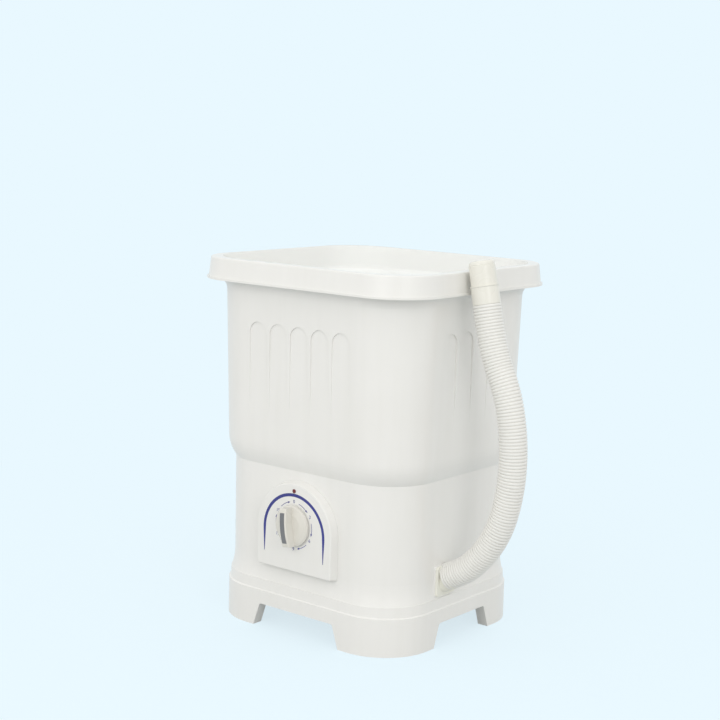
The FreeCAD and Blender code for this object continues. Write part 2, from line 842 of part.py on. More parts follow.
def make_base():
    """Plinth: a tray with a vented deck on four corner feet."""
    base = body("base_plinth")
    foot = level(base, "sole", as_size(0), d.base_width, d.base_corner)
    ridge = level(base, "ridge", d.ridge_height, d.base_width - 2 * d.ridge_inset, d.base_corner)
    top_width = d.base_width - 2 * d.shoulder_inset
    band = level(base, "band", d.ridge_height + d.ridge_step,
                 d.base_width - 2 * (d.ridge_inset + d.ridge_step), d.base_corner)
    shoulder = level(base, "shoulder", d.base_height, top_width, d.base_corner)
    loft(base, "skirt", [foot, ridge])
    loft(base, "ridge_ledge", [ridge, band])
    loft(base, "upper", [band, shoulder])
    under = level(base, "under", as_size(0), d.base_width - 2 * d.foot_depth, d.base_corner - d.foot_depth)
    pocket(base, "hollow", under, d.deck_height - d.deck_thickness, out=True)
    tray = level(base, "tray_line", d.base_height, top_width - 2 * d.base_wall, d.base_corner - d.base_wall)
    pocket(base, "tray", tray, d.base_height - d.deck_height)
    for label, plane, width in (("front", "XZ_Plane", d.front_arch), ("side", "YZ_Plane", d.side_arch)):
        top, low = width / 2, width / 2 + d.arch_splay
        drawing = polygon(base, f"{label}_arch", [(-low, 0), (low, 0), (top, d.arch_height),
                                                  (-top, d.arch_height)], plane)
        cut = pocket(base, f"{label}_arches", drawing, 2 * d.base_width, symmetric=True)
    arch_top = on_plane("z", d.arch_height.value)

    def arch_corner(edge):
        ends = [vertex.Point for vertex in edge.Vertexes]
        along = ends[-1] - ends[0]
        across = max(abs(along.x), abs(along.y))
        return arch_top(edge) and abs(across - d.foot_depth.value) < 2

    round_edges(base, "arch_corners", cut, d.arch_round, arch_corner)
    vents = sketch(base, "vent_lines", offset=d.deck_height)
    for index in range(int(d.vent_count.value)):
        centre = d.vent_pitch * (index - (d.vent_count.value - 1) / 2)
        add_arch(vents, centre, d.vent_width / 2, d.vent_y - d.vent_length / 2, d.vent_y + d.vent_length / 2)
    pocket(base, "vents", vents, d.deck_thickness + d.overcut)
    pocket(base, "screw_holes", circles(base, "screw_bores", post_places, d.screw_radius + d.free_hole,
                                        offset=d.deck_height), d.deck_height - d.arch_height + d.overcut)
    mounts = [(d.motor_x + u, d.motor_y + v) for u, v in spread(d.mount_spacing / 2, d.mount_spacing / 2)]
    pocket(base, "mount_holes", circles(base, "mount_bores", mounts, d.bolt_radius + d.free_hole,
                                        offset=d.deck_height), d.deck_thickness + d.overcut)


def make_panel():
    """Hollow arched panel that stands on the casing's front wall."""
    panel = body("control_panel")
    half = d.panel_width / 2
    face_half = half - d.panel_edge
    back = arch(panel, "back_line", half, d.panel_foot, d.panel_spring, panel_back)
    face = arch(panel, "face_line", face_half, d.panel_foot + d.panel_edge, d.panel_spring, panel_face)
    shell = loft(panel, "shell", [back, face])
    low_z = d.panel_foot.value + d.panel_edge.value + 0.5

    def low_corner(edge):
        ends = [vertex.Point for vertex in edge.Vertexes]
        return all(end.z < low_z for end in ends) and abs(ends[0].y - ends[-1].y) > 1

    corners = round_edges(panel, "low_corners", shell, d.panel_corner, low_corner)
    round_edges(panel, "face_edge", corners, d.panel_round, on_plane("y", -panel_face.value))
    inner = arch(panel, "hollow_line", face_half - d.panel_wall, d.panel_foot + d.panel_edge + d.panel_wall,
                 d.panel_spring, panel_back)
    pocket(panel, "hollow", inner, d.panel_depth - d.panel_wall, out=True)
    pad(panel, "bosses", circles(panel, "boss_rounds", panel_screw_places, d.panel_boss, "XZ_Plane",
                                 panel_back), d.panel_depth - d.panel_wall / 2)
    pocket(panel, "boss_holes", circles(panel, "boss_bores", panel_screw_places,
                                        d.small_screw + d.push_fit, "XZ_Plane", panel_back),
           d.panel_depth - d.panel_wall, out=True)
    for label, z, radius in (("dial", d.dial_z, d.dial_hole),
                             ("lens", d.lens_z, d.lens_radius + d.push_fit)):
        drawing = circles(panel, f"{label}_bore", [(0, z)], radius, "XZ_Plane",
                          panel_face + d.overcut)
        pocket(panel, f"{label}_hole", drawing, d.panel_wall + 2 * d.overcut)


def bow(owner, label, length, low, high, foot=None):
    """Side view in the YZ plane of a bar along the grip's arched crest, from low under the crest to high
    over it, or from a flat foot."""
    drawing = sketch(owner, label, "YZ_Plane")
    half = length / 2
    crest = (d.grip_length * d.grip_length / 4 + d.grip_crown * d.grip_crown) / (2 * d.grip_crown)
    centre = d.grip_height - crest
    outer = crest + high
    top_end = centre + root(outer * outer - half * half)
    if foot is None:
        inner = crest - low
        low_end = centre + root(inner * inner - half * half)
        low_middle = centre + inner
        lower = Part.Arc(Vector(half.value, low_end.value, 0), Vector(0, low_middle.value, 0),
                         Vector(-half.value, low_end.value, 0))
    else:
        low_end = as_size(foot)
        lower = Part.LineSegment(Vector(half.value, low_end.value, 0), Vector(-half.value, low_end.value, 0))
    drawing.addGeometry([
        Part.Arc(Vector(half.value, top_end.value, 0), Vector(0, (centre + outer).value, 0),
                 Vector(-half.value, top_end.value, 0)),
        Part.LineSegment(Vector(-half.value, top_end.value, 0), Vector(-half.value, low_end.value, 0)),
        Part.LineSegment(Vector(half.value, low_end.value, 0), Vector(half.value, top_end.value, 0)),
        lower,
    ])
    for link in ((0, 2, 1, 1), (2, 2, 0, 1), (3, 2, 1, 2), (3, 1, 2, 1)):
        drawing.addConstraint(Constraint("Coincident", *link))
    drawing.addConstraint(Constraint("Vertical", 1))
    drawing.addConstraint(Constraint("Vertical", 2))
    pin_point(drawing, 0, 3, 0, centre)
    dimension(drawing, Constraint("Radius", 0, outer.value), outer)
    dimension(drawing, Constraint("DistanceX", -1, 1, 2, 1, half.value), half)
    dimension(drawing, Constraint("DistanceX", 1, 1, -1, 1, half.value), half)
    if foot is None:
        drawing.addConstraint(Constraint("Coincident", 3, 3, 0, 3))
        dimension(drawing, Constraint("Radius", 3, inner.value), inner)
    else:
        dimension(drawing, Constraint("DistanceY", -1, 1, 3, 1, low_end.value), low_end)
        drawing.addConstraint(Constraint("Horizontal", 3))
    return drawing


def make_knob():
    """Round knob with an arched grip bar, its inlaid pointer, and the timer's shaft inside it."""
    turn = Rotation(Vector(0, 1, 0), -d.knob_turn.value) * FRONT
    where = {"y": -panel_face - d.knob_gap, "z": d.dial_z, "turn": turn}
    knob = put(body("timer_knob"), **where)
    revolve(knob, "disc", [(0, 0), (d.knob_radius, 0), (d.knob_radius, d.knob_rim),
                           (d.knob_radius - d.knob_rim / 2, d.knob_rim * 1.4),
                           (d.grip_length / 3, d.knob_dome), (0, d.knob_dome)])
    grip = bow(knob, "grip_side", d.grip_length, 0, 0, foot=d.knob_rim / 2)
    bar = pad(knob, "grip", grip, d.grip_width, symmetric=True)
    crest = d.grip_height.value - d.grip_crown.value

    def crest_edge(edge):
        # The body stands turned, so its features are tested in their own frame
        return all(vertex.Point.z > crest - 0.1 for vertex in edge.Vertexes)

    round_edges(knob, "grip_edge", bar, d.grip_round, crest_edge)
    seat = bow(knob, "pointer_seat", d.pointer_length + 2 * d.push_fit, d.pointer_depth, d.pointer_stand)
    pocket(knob, "pointer_slot", seat, d.pointer_width + 2 * d.push_fit, symmetric=True)
    pocket(knob, "socket", circles(knob, "socket_bore", [(0, 0)], d.timer_shaft + d.push_fit),
           d.socket_depth, out=True)

    pointer = put(body("knob_pointer"), **where)
    strip = bow(pointer, "strip_side", d.pointer_length, d.pointer_depth - d.push_fit, d.pointer_stand)
    pad(pointer, "strip", strip, d.pointer_width, symmetric=True)

    shaft = put(body("timer_shaft"), **where)
    inner_end = -(panel_face + d.knob_gap - casing_front + d.casing_wall + d.timer_shaft_inside)
    revolve(shaft, "rod", [(0, inner_end), (d.timer_shaft, inner_end), (d.timer_shaft, d.socket_depth),
                           (0, d.socket_depth)])


def make_timer():
    """Clockwork timer behind the casing's front wall, with its two screws."""
    timer = put(body("wash_timer"), y=-casing_front + d.casing_wall, z=d.dial_z, turn=FRONT)
    case = pad(timer, "case", rounded_box(timer, "case_line", d.timer_width, d.timer_height, d.timer_round),
               d.timer_depth, back=True)
    round_edges(timer, "case_edge", case, d.timer_round / 2, on_plane("z", -d.timer_depth.value))
    pad(timer, "bush", circles(timer, "bush_round", [(0, 0)], d.timer_bush), d.timer_bush_length)
    pocket(timer, "shaft_bore", circles(timer, "shaft_round", [(0, 0)], d.timer_shaft + d.running_fit,
                                        offset=d.timer_bush_length),
           d.timer_bush_length + d.timer_shaft_inside + d.side_gap)
    pocket(timer, "screw_holes", circles(timer, "screw_bores", [(d.timer_screw_x, 0), (-d.timer_screw_x, 0)],
                                         d.small_screw + d.push_fit), d.timer_screw_bite)
    terminal = rounded_box(timer, "terminals", d.terminal_width, d.terminal_height, d.terminal_round,
                           offset=-d.timer_depth, centre=(0, -d.timer_height / 4))
    pad(timer, "terminal_block", terminal, d.terminal_length, back=True)
    fasteners("timer_screws", timer_screw_places, d.small_head, d.small_head_depth, d.small_screw,
              d.casing_wall + d.timer_screw_bite - d.end_gap, "XZ_Plane", casing_front, flip=True)


def make_indicator():
    """Red lens in the panel's face and the lamp behind it."""
    lens = put(body("indicator_lens"), y=-panel_face, z=d.lens_z, turn=FRONT)
    seat = -d.panel_wall
    foot = seat - d.lens_flange_depth
    revolve(lens, "lens", [(0, foot), (d.lens_flange, foot), (d.lens_flange, seat), (d.lens_radius, seat),
                           (d.lens_radius, d.lens_stand / 2), (d.lens_radius * 0.6, d.lens_stand),
                           (0, d.lens_stand)])
    lamp = put(body("indicator_lamp"), y=-panel_face, z=d.lens_z, turn=FRONT)
    end = casing_front - panel_face - d.casing_wall - d.lamp_depth
    revolve(lamp, "lamp", [(0, end), (d.lamp_radius * 0.7, end), (d.lamp_radius, end + d.lamp_tip),
                           (d.lamp_radius, foot), (0, foot)])


def make_pulsator():
    """Finned disc in the floor's well, screwed to the drive shaft."""
    low = well_z + d.floor_thickness + d.pulsator_gap
    rim_low = low + d.pulsator_gap
    rim_high = rim_low + d.pulsator_edge
    crown = low + d.pulsator_crown
    pulsator = body("pulsator")
    edge, hub = d.pulsator_radius, d.pulsator_hub
    revolve(pulsator, "disc", [
        (0, low), (hub, low), (hub, rim_low), (edge - d.pulsator_bevel, rim_low),
        (edge, rim_low + d.pulsator_bevel_rise), (edge, rim_high),
        (edge - d.pulsator_shoulder, rim_high + d.shoulder_rise), (edge / 2, rim_high + d.pulsator_rise),
        (hub + d.pulsator_skirt, crown - d.crown_drop), (hub, crown), (0, crown)])
    fin_end = edge - d.fin_inset
    fin_side = polygon(pulsator, "fin_side", [
        (hub / 2, rim_high), (fin_end, rim_high), (fin_end - d.fin_foot / 2, rim_high + d.fin_foot),
        (edge * 0.6, rim_high + d.fin_height), (hub, crown - d.end_gap), (hub / 2, crown - d.end_gap)])
    fin = pad(pulsator, "fin", fin_side, d.fin_width, symmetric=True)
    fins = pulsator.newObject("PartDesign::PolarPattern", "fins")
    fins.Originals = [fin]
    fins.Axis = (origin_plane(pulsator, "Z_Axis"), [""])
    fins.Angle = 360
    bind(fins, "Occurrences", d.fin_count)
    pulsator.Tip = fins
    doc.recompute()
    shaft_top = low + d.shaft_reach
    pocket(pulsator, "shaft_socket", circles(pulsator, "socket_round", [(0, 0)], d.shaft_radius + d.push_fit,
                                             offset=low), d.shaft_reach + d.socket_gap, out=True)
    pocket(pulsator, "screw_hole", circles(pulsator, "screw_round", [(0, 0)], d.bolt_radius + d.free_hole,
                                           offset=crown + d.overcut), d.pulsator_crown)
    fasteners("pulsator_screw", [(0, 0)], d.pulsator_hub / 2, d.bolt_head_depth, d.bolt_radius,
              crown - shaft_top + d.pulsator_screw, offset=crown, flip=True)

    pulley_top = well_z - d.housing_length - d.pulley_drop
    pulley_low = pulley_top - d.pulley_width - 2 * d.hub_stand
    tail = pulley_low - d.nut_depth - d.shaft_stand
    shaft = body("drive_shaft")
    revolve(shaft, "rod", [(0, tail), (d.shaft_tail - d.end_gap, tail), (d.shaft_tail, tail + d.end_gap),
                           (d.shaft_tail, pulley_top), (d.shaft_radius, pulley_top),
                           (d.shaft_radius, shaft_top), (0, shaft_top)])
    pocket(shaft, "thread", circles(shaft, "thread_round", [(0, 0)], d.bolt_radius + d.push_fit,
                                    offset=shaft_top), d.pulsator_screw + 2 * d.end_gap)
    make_pulley("drive_pulley", pulley_top, pulley_low, d.pulley_radius, d.pulley_hub,
                d.shaft_tail + d.push_fit, 0, 0)
    nut = body("pulley_nut")
    flats = [(d.nut_width / math.sqrt(3) * math.cos(math.pi / 3 * index),
              d.nut_width / math.sqrt(3) * math.sin(math.pi / 3 * index)) for index in range(6)]
    clean = [(u if abs(u.value) > 1e-6 else 0, v if abs(v.value) > 1e-6 else 0) for u, v in flats]
    pad(nut, "hexagon", polygon(nut, "flats", clean, "XY_Plane", pulley_low), d.nut_depth, back=True)
    pocket(nut, "bore", circles(nut, "thread", [(0, 0)], d.shaft_tail + d.push_fit, offset=pulley_low),
           d.nut_depth + d.overcut)
    return pulley_top, pulley_low


def make_pulley(label, top, low, radius, hub, bore, x, y):
    """Pulley with a V groove; a large one has a thin web with round holes."""
    pulley = put(body(label), x, y)
    rim_low = low + d.hub_stand
    rim_high = rim_low + d.pulley_width
    middle = rim_low + d.pulley_width / 2
    root_radius = radius - d.groove_depth
    groove = [(radius, middle + d.groove_width / 2), (root_radius, middle + d.groove_foot / 2),
              (root_radius, middle - d.groove_foot / 2), (radius, middle - d.groove_width / 2)]
    rim = [(radius, rim_high)] + groove + [(radius, rim_low)]
    if radius.value > 2 * hub.value:
        inner = root_radius - d.pulley_rim
        points = [(bore, top), (hub, top), (hub, middle + d.pulley_web / 2),
                  (inner, middle + d.pulley_web / 2), (inner, rim_high)]
        points += rim
        points += [(inner, rim_low), (inner, middle - d.pulley_web / 2), (hub, middle - d.pulley_web / 2),
                   (hub, low), (bore, low)]
    else:
        points = [(bore, top), (hub, top), (hub, rim_high)] + rim + [(hub, rim_low), (hub, low), (bore, low)]
    revolve(pulley, "wheel", points)
    if radius.value > 2 * hub.value:
        holes = ring(int(d.pulley_holes.value), d.pulley_hole_circle)
        pocket(pulley, "web_holes", circles(pulley, "web_rounds", holes, d.pulley_hole_radius, offset=top),
               top - low)


def make_housing():
    """Bearing housing under the well, with its bushes, seal and bolts."""
    low = well_z - d.housing_length
    flange_low = well_z - d.housing_flange_depth
    cone_low = flange_low - d.housing_cone
    spigot_top = well_z + d.floor_thickness + d.spigot_reach
    housing = body("shaft_housing")
    hub, flange = d.housing_hub, d.housing_flange
    revolve(housing, "housing", [
        (d.housing_bore, low), (hub, low), (hub + d.housing_taper, cone_low),
        (hub + d.housing_cone, flange_low), (flange, flange_low), (flange, well_z),
        (d.housing_spigot, well_z), (d.housing_spigot, spigot_top), (d.housing_bore, spigot_top)])
    pocket(housing, "bolt_holes", circles(housing, "bolt_bores", housing_bolt_places,
                                          d.bolt_radius + d.free_hole, offset=well_z),
           d.housing_flange_depth + d.overcut)
    outer = d.housing_bore - d.push_fit
    bore = d.shaft_radius + d.running_fit
    seal_low = spigot_top - d.seal_depth
    for label, bottom, height in (("lower_bush", low + d.bush_inset, d.bush_length),
                                  ("upper_bush", seal_low - d.bush_length, d.bush_length),
                                  ("shaft_seal", seal_low, d.seal_depth)):
        sleeve = body(label)
        revolve(sleeve, "sleeve", [(bore, bottom), (outer, bottom), (outer, bottom + height),
                                   (bore, bottom + height)])
    fasteners("housing_bolts", housing_bolt_places, d.bolt_head, d.bolt_head_depth, d.bolt_radius,
              d.housing_flange_depth + d.floor_thickness + d.spigot_reach - d.boss_skin - d.side_gap,
              offset=flange_low)


def make_motor(pulley_top, pulley_low):
    """Upright induction motor on rubber mounts, with its pulley level with the large one."""
    bracket_z = d.deck_height + d.mount_depth
    bell_z = bracket_z + d.bracket_thickness
    stator_z = bell_z + d.bell_depth
    upper_z = stator_z + d.stator_depth
    motor_top = upper_z + d.bell_depth
    mount_places = spread(d.mount_spacing / 2, d.mount_spacing / 2)
    where = {"x": d.motor_x, "y": d.motor_y}

    bracket = put(body("motor_bracket"), **where)
    pad(bracket, "plate", rounded_box(bracket, "plate_line", d.bracket_width, d.bracket_width,
                                      d.bracket_corner, offset=bracket_z), d.bracket_thickness)
    pad(bracket, "weld_nuts", circles(bracket, "nut_rounds", mount_places, d.weld_nut_radius, offset=bell_z),
        d.weld_nut_depth)
    pocket(bracket, "mount_holes", circles(bracket, "mount_bores", mount_places, d.bolt_radius + d.push_fit,
                                           offset=bracket_z),
           d.bracket_thickness + d.weld_nut_depth + d.overcut, out=True)
    pocket(bracket, "motor_holes", circles(bracket, "motor_bores", motor_bolt_places,
                                           d.screw_radius + d.free_hole, offset=bracket_z),
           d.bracket_thickness + d.overcut, out=True)
    mounts = put(body("motor_mounts"), **where)
    mounts.AllowCompound = True
    pad(mounts, "rubber", circles(mounts, "rounds", mount_places, d.mount_radius, offset=d.deck_height),
        d.mount_depth)
    pocket(mounts, "bores", circles(mounts, "holes", mount_places, d.bolt_radius + d.free_hole,
                                    offset=d.deck_height), d.mount_depth + d.overcut, out=True)
    bolts = fasteners("mount_bolts", mount_places, d.bolt_head, d.bolt_head_depth, d.bolt_radius,
                      d.deck_thickness + d.mount_depth + d.bracket_thickness + d.weld_nut_depth,
                      offset=d.deck_height - d.deck_thickness)
    put(bolts, **where)

    bolt_hole = d.screw_radius + d.push_fit
    bore = d.motor_shaft + d.running_fit
    inner, hub = d.bell_cavity, d.bell_hub
    shoulder, edge = d.bell_radius - d.bell_round, d.bell_radius
    floor, bearing = bell_z + d.bell_wall, stator_z - d.bearing_gap
    lower = put(body("motor_lower_bell"), **where)
    revolve(lower, "bell", [
        (0, bell_z), (shoulder, bell_z), (edge, bell_z + d.bell_round), (edge, stator_z), (inner, stator_z),
        (inner, floor), (hub, floor), (hub, bearing), (bore, bearing), (bore, floor), (0, floor)])
    upper = put(body("motor_upper_bell"), **where)
    crown, bearing = motor_top - d.bell_wall, upper_z + d.bearing_gap
    revolve(upper, "bell", [
        (bore, motor_top), (shoulder, motor_top), (edge, motor_top - d.bell_round), (edge, upper_z),
        (inner, upper_z), (inner, crown), (hub, crown), (hub, bearing), (bore, bearing)])
    stator = put(body("motor_stator"), **where)
    revolve(stator, "stack", [(d.stator_bore, stator_z), (d.motor_radius, stator_z),
                              (d.motor_radius, upper_z), (d.stator_bore, upper_z)])
    for piece, bottom, height in ((lower, bell_z, d.bell_depth), (stator, stator_z, d.stator_depth),
                                  (upper, upper_z, d.bell_depth)):
        holes = circles(piece, "bolt_bores", motor_bolt_places, bolt_hole, offset=bottom)
        pocket(piece, "bolt_holes", holes, height + d.overcut, out=True)
    put(fasteners("motor_bolts", motor_bolt_places, d.screw_head, d.screw_head_depth, d.screw_radius,
                  motor_top - bracket_z, offset=motor_top, flip=True), **where)

    core = d.stator_bore - d.air_gap
    low_end = bell_z + d.bell_wall
    core_low, core_high = stator_z + d.rotor_inset, upper_z - d.rotor_inset
    shaft_top = pulley_top + d.motor_shaft_stand
    rotor = put(body("motor_shaft"), **where)
    revolve(rotor, "rotor", [(0, low_end), (d.motor_shaft, low_end), (d.motor_shaft, core_low),
                             (core, core_low), (core, core_high), (d.motor_shaft, core_high),
                             (d.motor_shaft, shaft_top), (0, shaft_top)])
    make_pulley("motor_pulley", pulley_top, pulley_low, d.motor_pulley_radius, d.motor_hub,
                d.motor_shaft + d.push_fit, d.motor_x, d.motor_y)


def make_belt(pulley_low):
    """V belt round both pulleys, clear of their grooves."""
    middle = (pulley_low + d.hub_stand + d.pulley_width / 2).value
    slope = (d.groove_width.value - d.groove_foot.value) / d.groove_depth.value
    deep = d.belt_drop.value + d.belt_depth.value
    half_out = (d.groove_width.value - slope * d.belt_drop.value) / 2 - d.free_hole.value
    half_in = (d.groove_width.value - slope * deep) / 2 - d.free_hole.value
    large = d.pulley_radius.value - deep
    small = d.motor_pulley_radius.value - deep
    along = Vector(d.motor_x.value, d.motor_y.value, 0)
    span = along.Length
    heading = math.atan2(along.y, along.x)
    wrap = math.acos((large - small) / span)

    def at(centre, radius, angle):
        return centre + Vector(radius * math.cos(angle), radius * math.sin(angle), 0)

    lift = Vector(0, 0, middle)
    start, far = lift, lift + along
    a1, a2 = heading + wrap, heading - wrap
    path = Part.Wire([
        Part.Arc(at(start, large, a1), at(start, large, heading + math.pi), at(start, large, a2)).toShape(),
        Part.LineSegment(at(start, large, a2), at(far, small, a2)).toShape(),
        Part.Arc(at(far, small, a2), at(far, small, heading), at(far, small, a1)).toShape(),
        Part.LineSegment(at(far, small, a1), at(start, large, a1)).toShape(),
    ])
    outward = Vector(math.cos(a1), math.sin(a1), 0)
    foot = at(start, large, a1)
    rise = Vector(0, 0, 1)
    corners = [foot - rise * half_in, foot + rise * half_in,
               foot + outward * d.belt_depth.value + rise * half_out,
               foot + outward * d.belt_depth.value - rise * half_out]
    profile = Part.makePolygon(corners + corners[:1])
    belt = doc.addObject("Part::Feature", "drive_belt")
    belt.Label = "drive_belt"
    belt.Shape = path.makePipeShell([profile], True, False)
    belt.Placement = Placement()
    nodes["drive_belt"] = belt
    print("belt volume", round(belt.Shape.Volume), "section times length",
          round((half_in + half_out) * d.belt_depth.value * path.Length))


def make_capacitor():
    """Motor capacitor in its clip on the deck."""
    where = {"x": d.capacitor_x, "y": d.capacitor_y, "z": d.deck_height}
    can = put(body("capacitor"), **where)
    radius, height = d.capacitor_radius, d.capacitor_height
    stud, tip = radius / 2, height + d.terminal_stand
    revolve(can, "can", [(0, 0), (radius - d.capacitor_foot, 0), (radius, d.capacitor_foot),
                         (radius, height - d.capacitor_bevel), (radius - d.capacitor_bevel, height),
                         (stud, height), (stud, tip), (0, tip)])
    clip = put(body("capacitor_clip"), **where)
    outer = radius + d.clip_wall
    pad(clip, "band", circles(clip, "band_round", [(0, 0)], outer), d.clip_height)
    pad(clip, "foot", rounded_box(clip, "foot_line", d.clip_foot, 2 * radius, d.clip_corner), d.clip_wall)
    pocket(clip, "bore", circles(clip, "bore_round", [(0, 0)], radius + d.push_fit),
           d.clip_height + d.overcut, out=True)


def make_drain():
    """Strainer, rubber elbow and clamps, and the outlet with its nut and seal."""
    strainer = put(body("drain_strainer"), d.drain_x, d.outlet_y, floor_z)
    bore = d.drain_bore - d.push_fit
    top = d.strainer_depth
    skirt_bore, edge = bore - d.strainer_wall, d.strainer_radius
    revolve(strainer, "plate", [(0, 0), (skirt_bore, 0), (skirt_bore, -d.strainer_skirt),
                                (bore, -d.strainer_skirt), (bore, 0), (edge, 0), (edge, top / 2),
                                (edge - d.strainer_wall, top), (0, top)])
    slots = sketch(strainer, "slot_lines", offset=top)
    for index in range(int(d.strainer_slots.value)):
        centre = d.slot_pitch * (index - (d.strainer_slots.value - 1) / 2)
        add_arch(slots, centre, d.slot_width / 2, -d.slot_length / 2, d.slot_length / 2 - d.slot_width)
    pocket(strainer, "slots", slots, d.strainer_depth + d.overcut)

    neck = d.neck_radius + d.push_fit
    skin = neck + d.elbow_wall
    high = d.casing_top - d.floor_thickness / 2
    elbow = put(body("drain_elbow"), d.drain_x, d.outlet_y)
    spine = sketch(elbow, "spine", "XZ_Plane")
    bend, drop, end = d.elbow_bend.value, d.outlet_z.value, d.elbow_end.value - d.drain_x.value
    corner = Part.Circle(Vector(bend, drop + bend, 0), Vector(0, 0, 1), bend)
    spine.addGeometry([Part.LineSegment(Vector(0, high.value, 0), Vector(0, drop + bend, 0)),
                       Part.ArcOfCircle(corner, math.pi, 1.5 * math.pi),
                       Part.LineSegment(Vector(bend, drop, 0), Vector(end, drop, 0))])
    spine.addConstraint(Constraint("Tangent", 0, 2, 1, 1))
    spine.addConstraint(Constraint("Tangent", 1, 2, 2, 1))
    spine.addConstraint(Constraint("Vertical", 0))
    spine.addConstraint(Constraint("Horizontal", 2))
    pin_point(spine, 0, 1, 0, high)
    pin_point(spine, 2, 2, d.elbow_end - d.drain_x, d.outlet_z)
    dimension(spine, Constraint("Radius", 1, bend), d.elbow_bend)
    for kind, label, radius in (("AdditivePipe", "tube", skin), ("SubtractivePipe", "bore", neck)):
        pipe = feature(elbow, kind, label, circles(elbow, f"{label}_round", [(0, 0)], radius, offset=high))
        pipe.Spine = (spine, ["Edge1", "Edge2", "Edge3"])
    clamps = body("elbow_clamps")
    clamps.AllowCompound = True
    upper_z = high - d.clamp_inset
    band = skin + d.seat_gap
    pad(clamps, "upper", circles(clamps, "upper_round", [(d.drain_x, d.outlet_y)], band + d.clamp_wall,
                                 offset=upper_z), d.clamp_width, back=True)
    side_end = d.elbow_end - d.side_clamp_inset
    pad(clamps, "side", circles(clamps, "side_round", [(d.outlet_y, d.outlet_z)], band + d.clamp_wall,
                                "YZ_Plane", side_end), d.clamp_width, back=True)
    pocket(clamps, "upper_bore", circles(clamps, "upper_hole", [(d.drain_x, d.outlet_y)], band,
                                         offset=upper_z + d.overcut), d.clamp_width + 2 * d.overcut)
    pocket(clamps, "side_bore", circles(clamps, "side_hole", [(d.outlet_y, d.outlet_z)], band, "YZ_Plane",
                                        side_end + d.overcut), d.clamp_width + 2 * d.overcut)

    # Outlet: local Z points out of the casing's side, local -X is up
    where = {"x": outlet_seat, "y": d.outlet_y, "z": d.outlet_z, "turn": RIGHT}
    outlet = put(body("drain_outlet"), **where)
    plate = pad(outlet, "plate", rounded_box(outlet, "plate_line", d.outlet_width, d.outlet_width,
                                             d.outlet_corner), d.outlet_plate)
    round_edges(outlet, "plate_edge", plate, d.outlet_plate / 3, on_plane("z", d.outlet_plate.value))
    pad(outlet, "tail", circles(outlet, "tail_round", [(0, 0)], d.neck_radius),
        outlet_seat - outlet_inside + d.outlet_tail, back=True)
    add_spigot(outlet)
    inner_end = -(outlet_seat - outlet_inside + d.outlet_tail)
    pocket(outlet, "tail_bore", circles(outlet, "tail_hole", [(0, 0)], d.outlet_bore, offset=inner_end),
           d.outlet_plate - inner_end, out=True)
    nut_z = outlet_inside - d.outlet_seal_depth
    for label, out_x, depth, radius in (
            ("outlet_seal", outlet_inside, d.outlet_seal_depth, d.neck_radius + d.outlet_seal_edge),
            ("outlet_nut", nut_z, d.outlet_nut_depth, d.outlet_nut_radius)):
        piece = put(body(label), out_x, d.outlet_y, d.outlet_z, RIGHT)
        revolve(piece, "washer", [(d.neck_radius + d.push_fit, 0), (radius, 0), (radius, -depth),
                                  (d.neck_radius + d.push_fit, -depth)])


def add_spigot(outlet):
    """Upturned hose tail with a collar, about an axis through the middle of the plate's face."""
    tilt = d.outlet_tilt
    tip = d.collar_end + d.spigot_length
    for label, kind, radius, low, high in (
            ("spigot", "Pad", d.spigot_radius, -d.spigot_root, tip),
            ("collar", "Pad", d.collar_radius, d.collar_start, d.collar_end),
            ("spigot_bore", "Pocket", d.outlet_bore, 2 * d.overcut - d.spigot_root, tip + d.overcut)):
        drawing = circles(outlet, f"{label}_round", [(0, 0)], radius)
        cosine, sine = math.cos(math.radians(tilt.value)), math.sin(math.radians(tilt.value))
        along = Size(cosine, f"cos({tilt.formula})")
        across = Size(sine, f"sin({tilt.formula})")
        drawing.AttachmentOffset = Placement(
            Vector(-sine * low.value, 0, d.outlet_plate.value + cosine * low.value),
            Rotation(Vector(0, 1, 0), -tilt.value))
        bind(drawing, "AttachmentOffset.Base.x", -across * low)
        bind(drawing, "AttachmentOffset.Base.z", d.outlet_plate + along * low)
        if kind == "Pad":
            pad(outlet, label, drawing, high - low)
        else:
            pocket(outlet, label, drawing, high - low, out=True)


def hose_path():
    """Middle line of the hose: straight runs joined by arcs, one diameter left straight at each end."""
    points = [Vector(x, d.outlet_y.value, z) for x, z in HOSE_ROUTE]
    runs = [(after - before).Length for before, after in zip(points, points[1:])]
    room = [0.45 * run for run in runs]
    for end in (0, -1):
        room[end] = runs[end] - 2 * d.hose_crest.value
    edges = []
    start = points[0]
    for index in range(1, len(points) - 1):
        point = points[index]
        run_in, run_out = point - points[index - 1], points[index + 1] - point
        turn = run_in.getAngle(run_out)
        reach = min(room[index - 1], room[index])
        radius = reach / math.tan(turn / 2)
        print("hose bend radius", round(radius), "mm, turn", round(math.degrees(turn), 1), "degrees")
        enter = point - run_in.normalize() * reach
        leave = point + run_out.normalize() * reach
        inward = (enter + leave) * 0.5 - point
        middle = point + inward.normalize() * (radius / math.cos(turn / 2) - radius)
        edges.append(Part.LineSegment(start, enter).toShape())
        edges.append(Part.Arc(enter, middle, leave).toShape())
        start = leave
    edges.append(Part.LineSegment(start, points[-1]).toShape())
    return Part.Wire(edges)


def point_along(path, distance):
    """Point and direction at a distance along the hose's middle line."""
    for edge in path.OrderedEdges:
        if distance <= edge.Length + 1e-6:
            parameter = edge.getParameterByLength(min(distance, edge.Length))
            return edge.valueAt(parameter), edge.tangentAt(parameter)
        distance -= edge.Length
    raise ValueError("past the end of the hose")


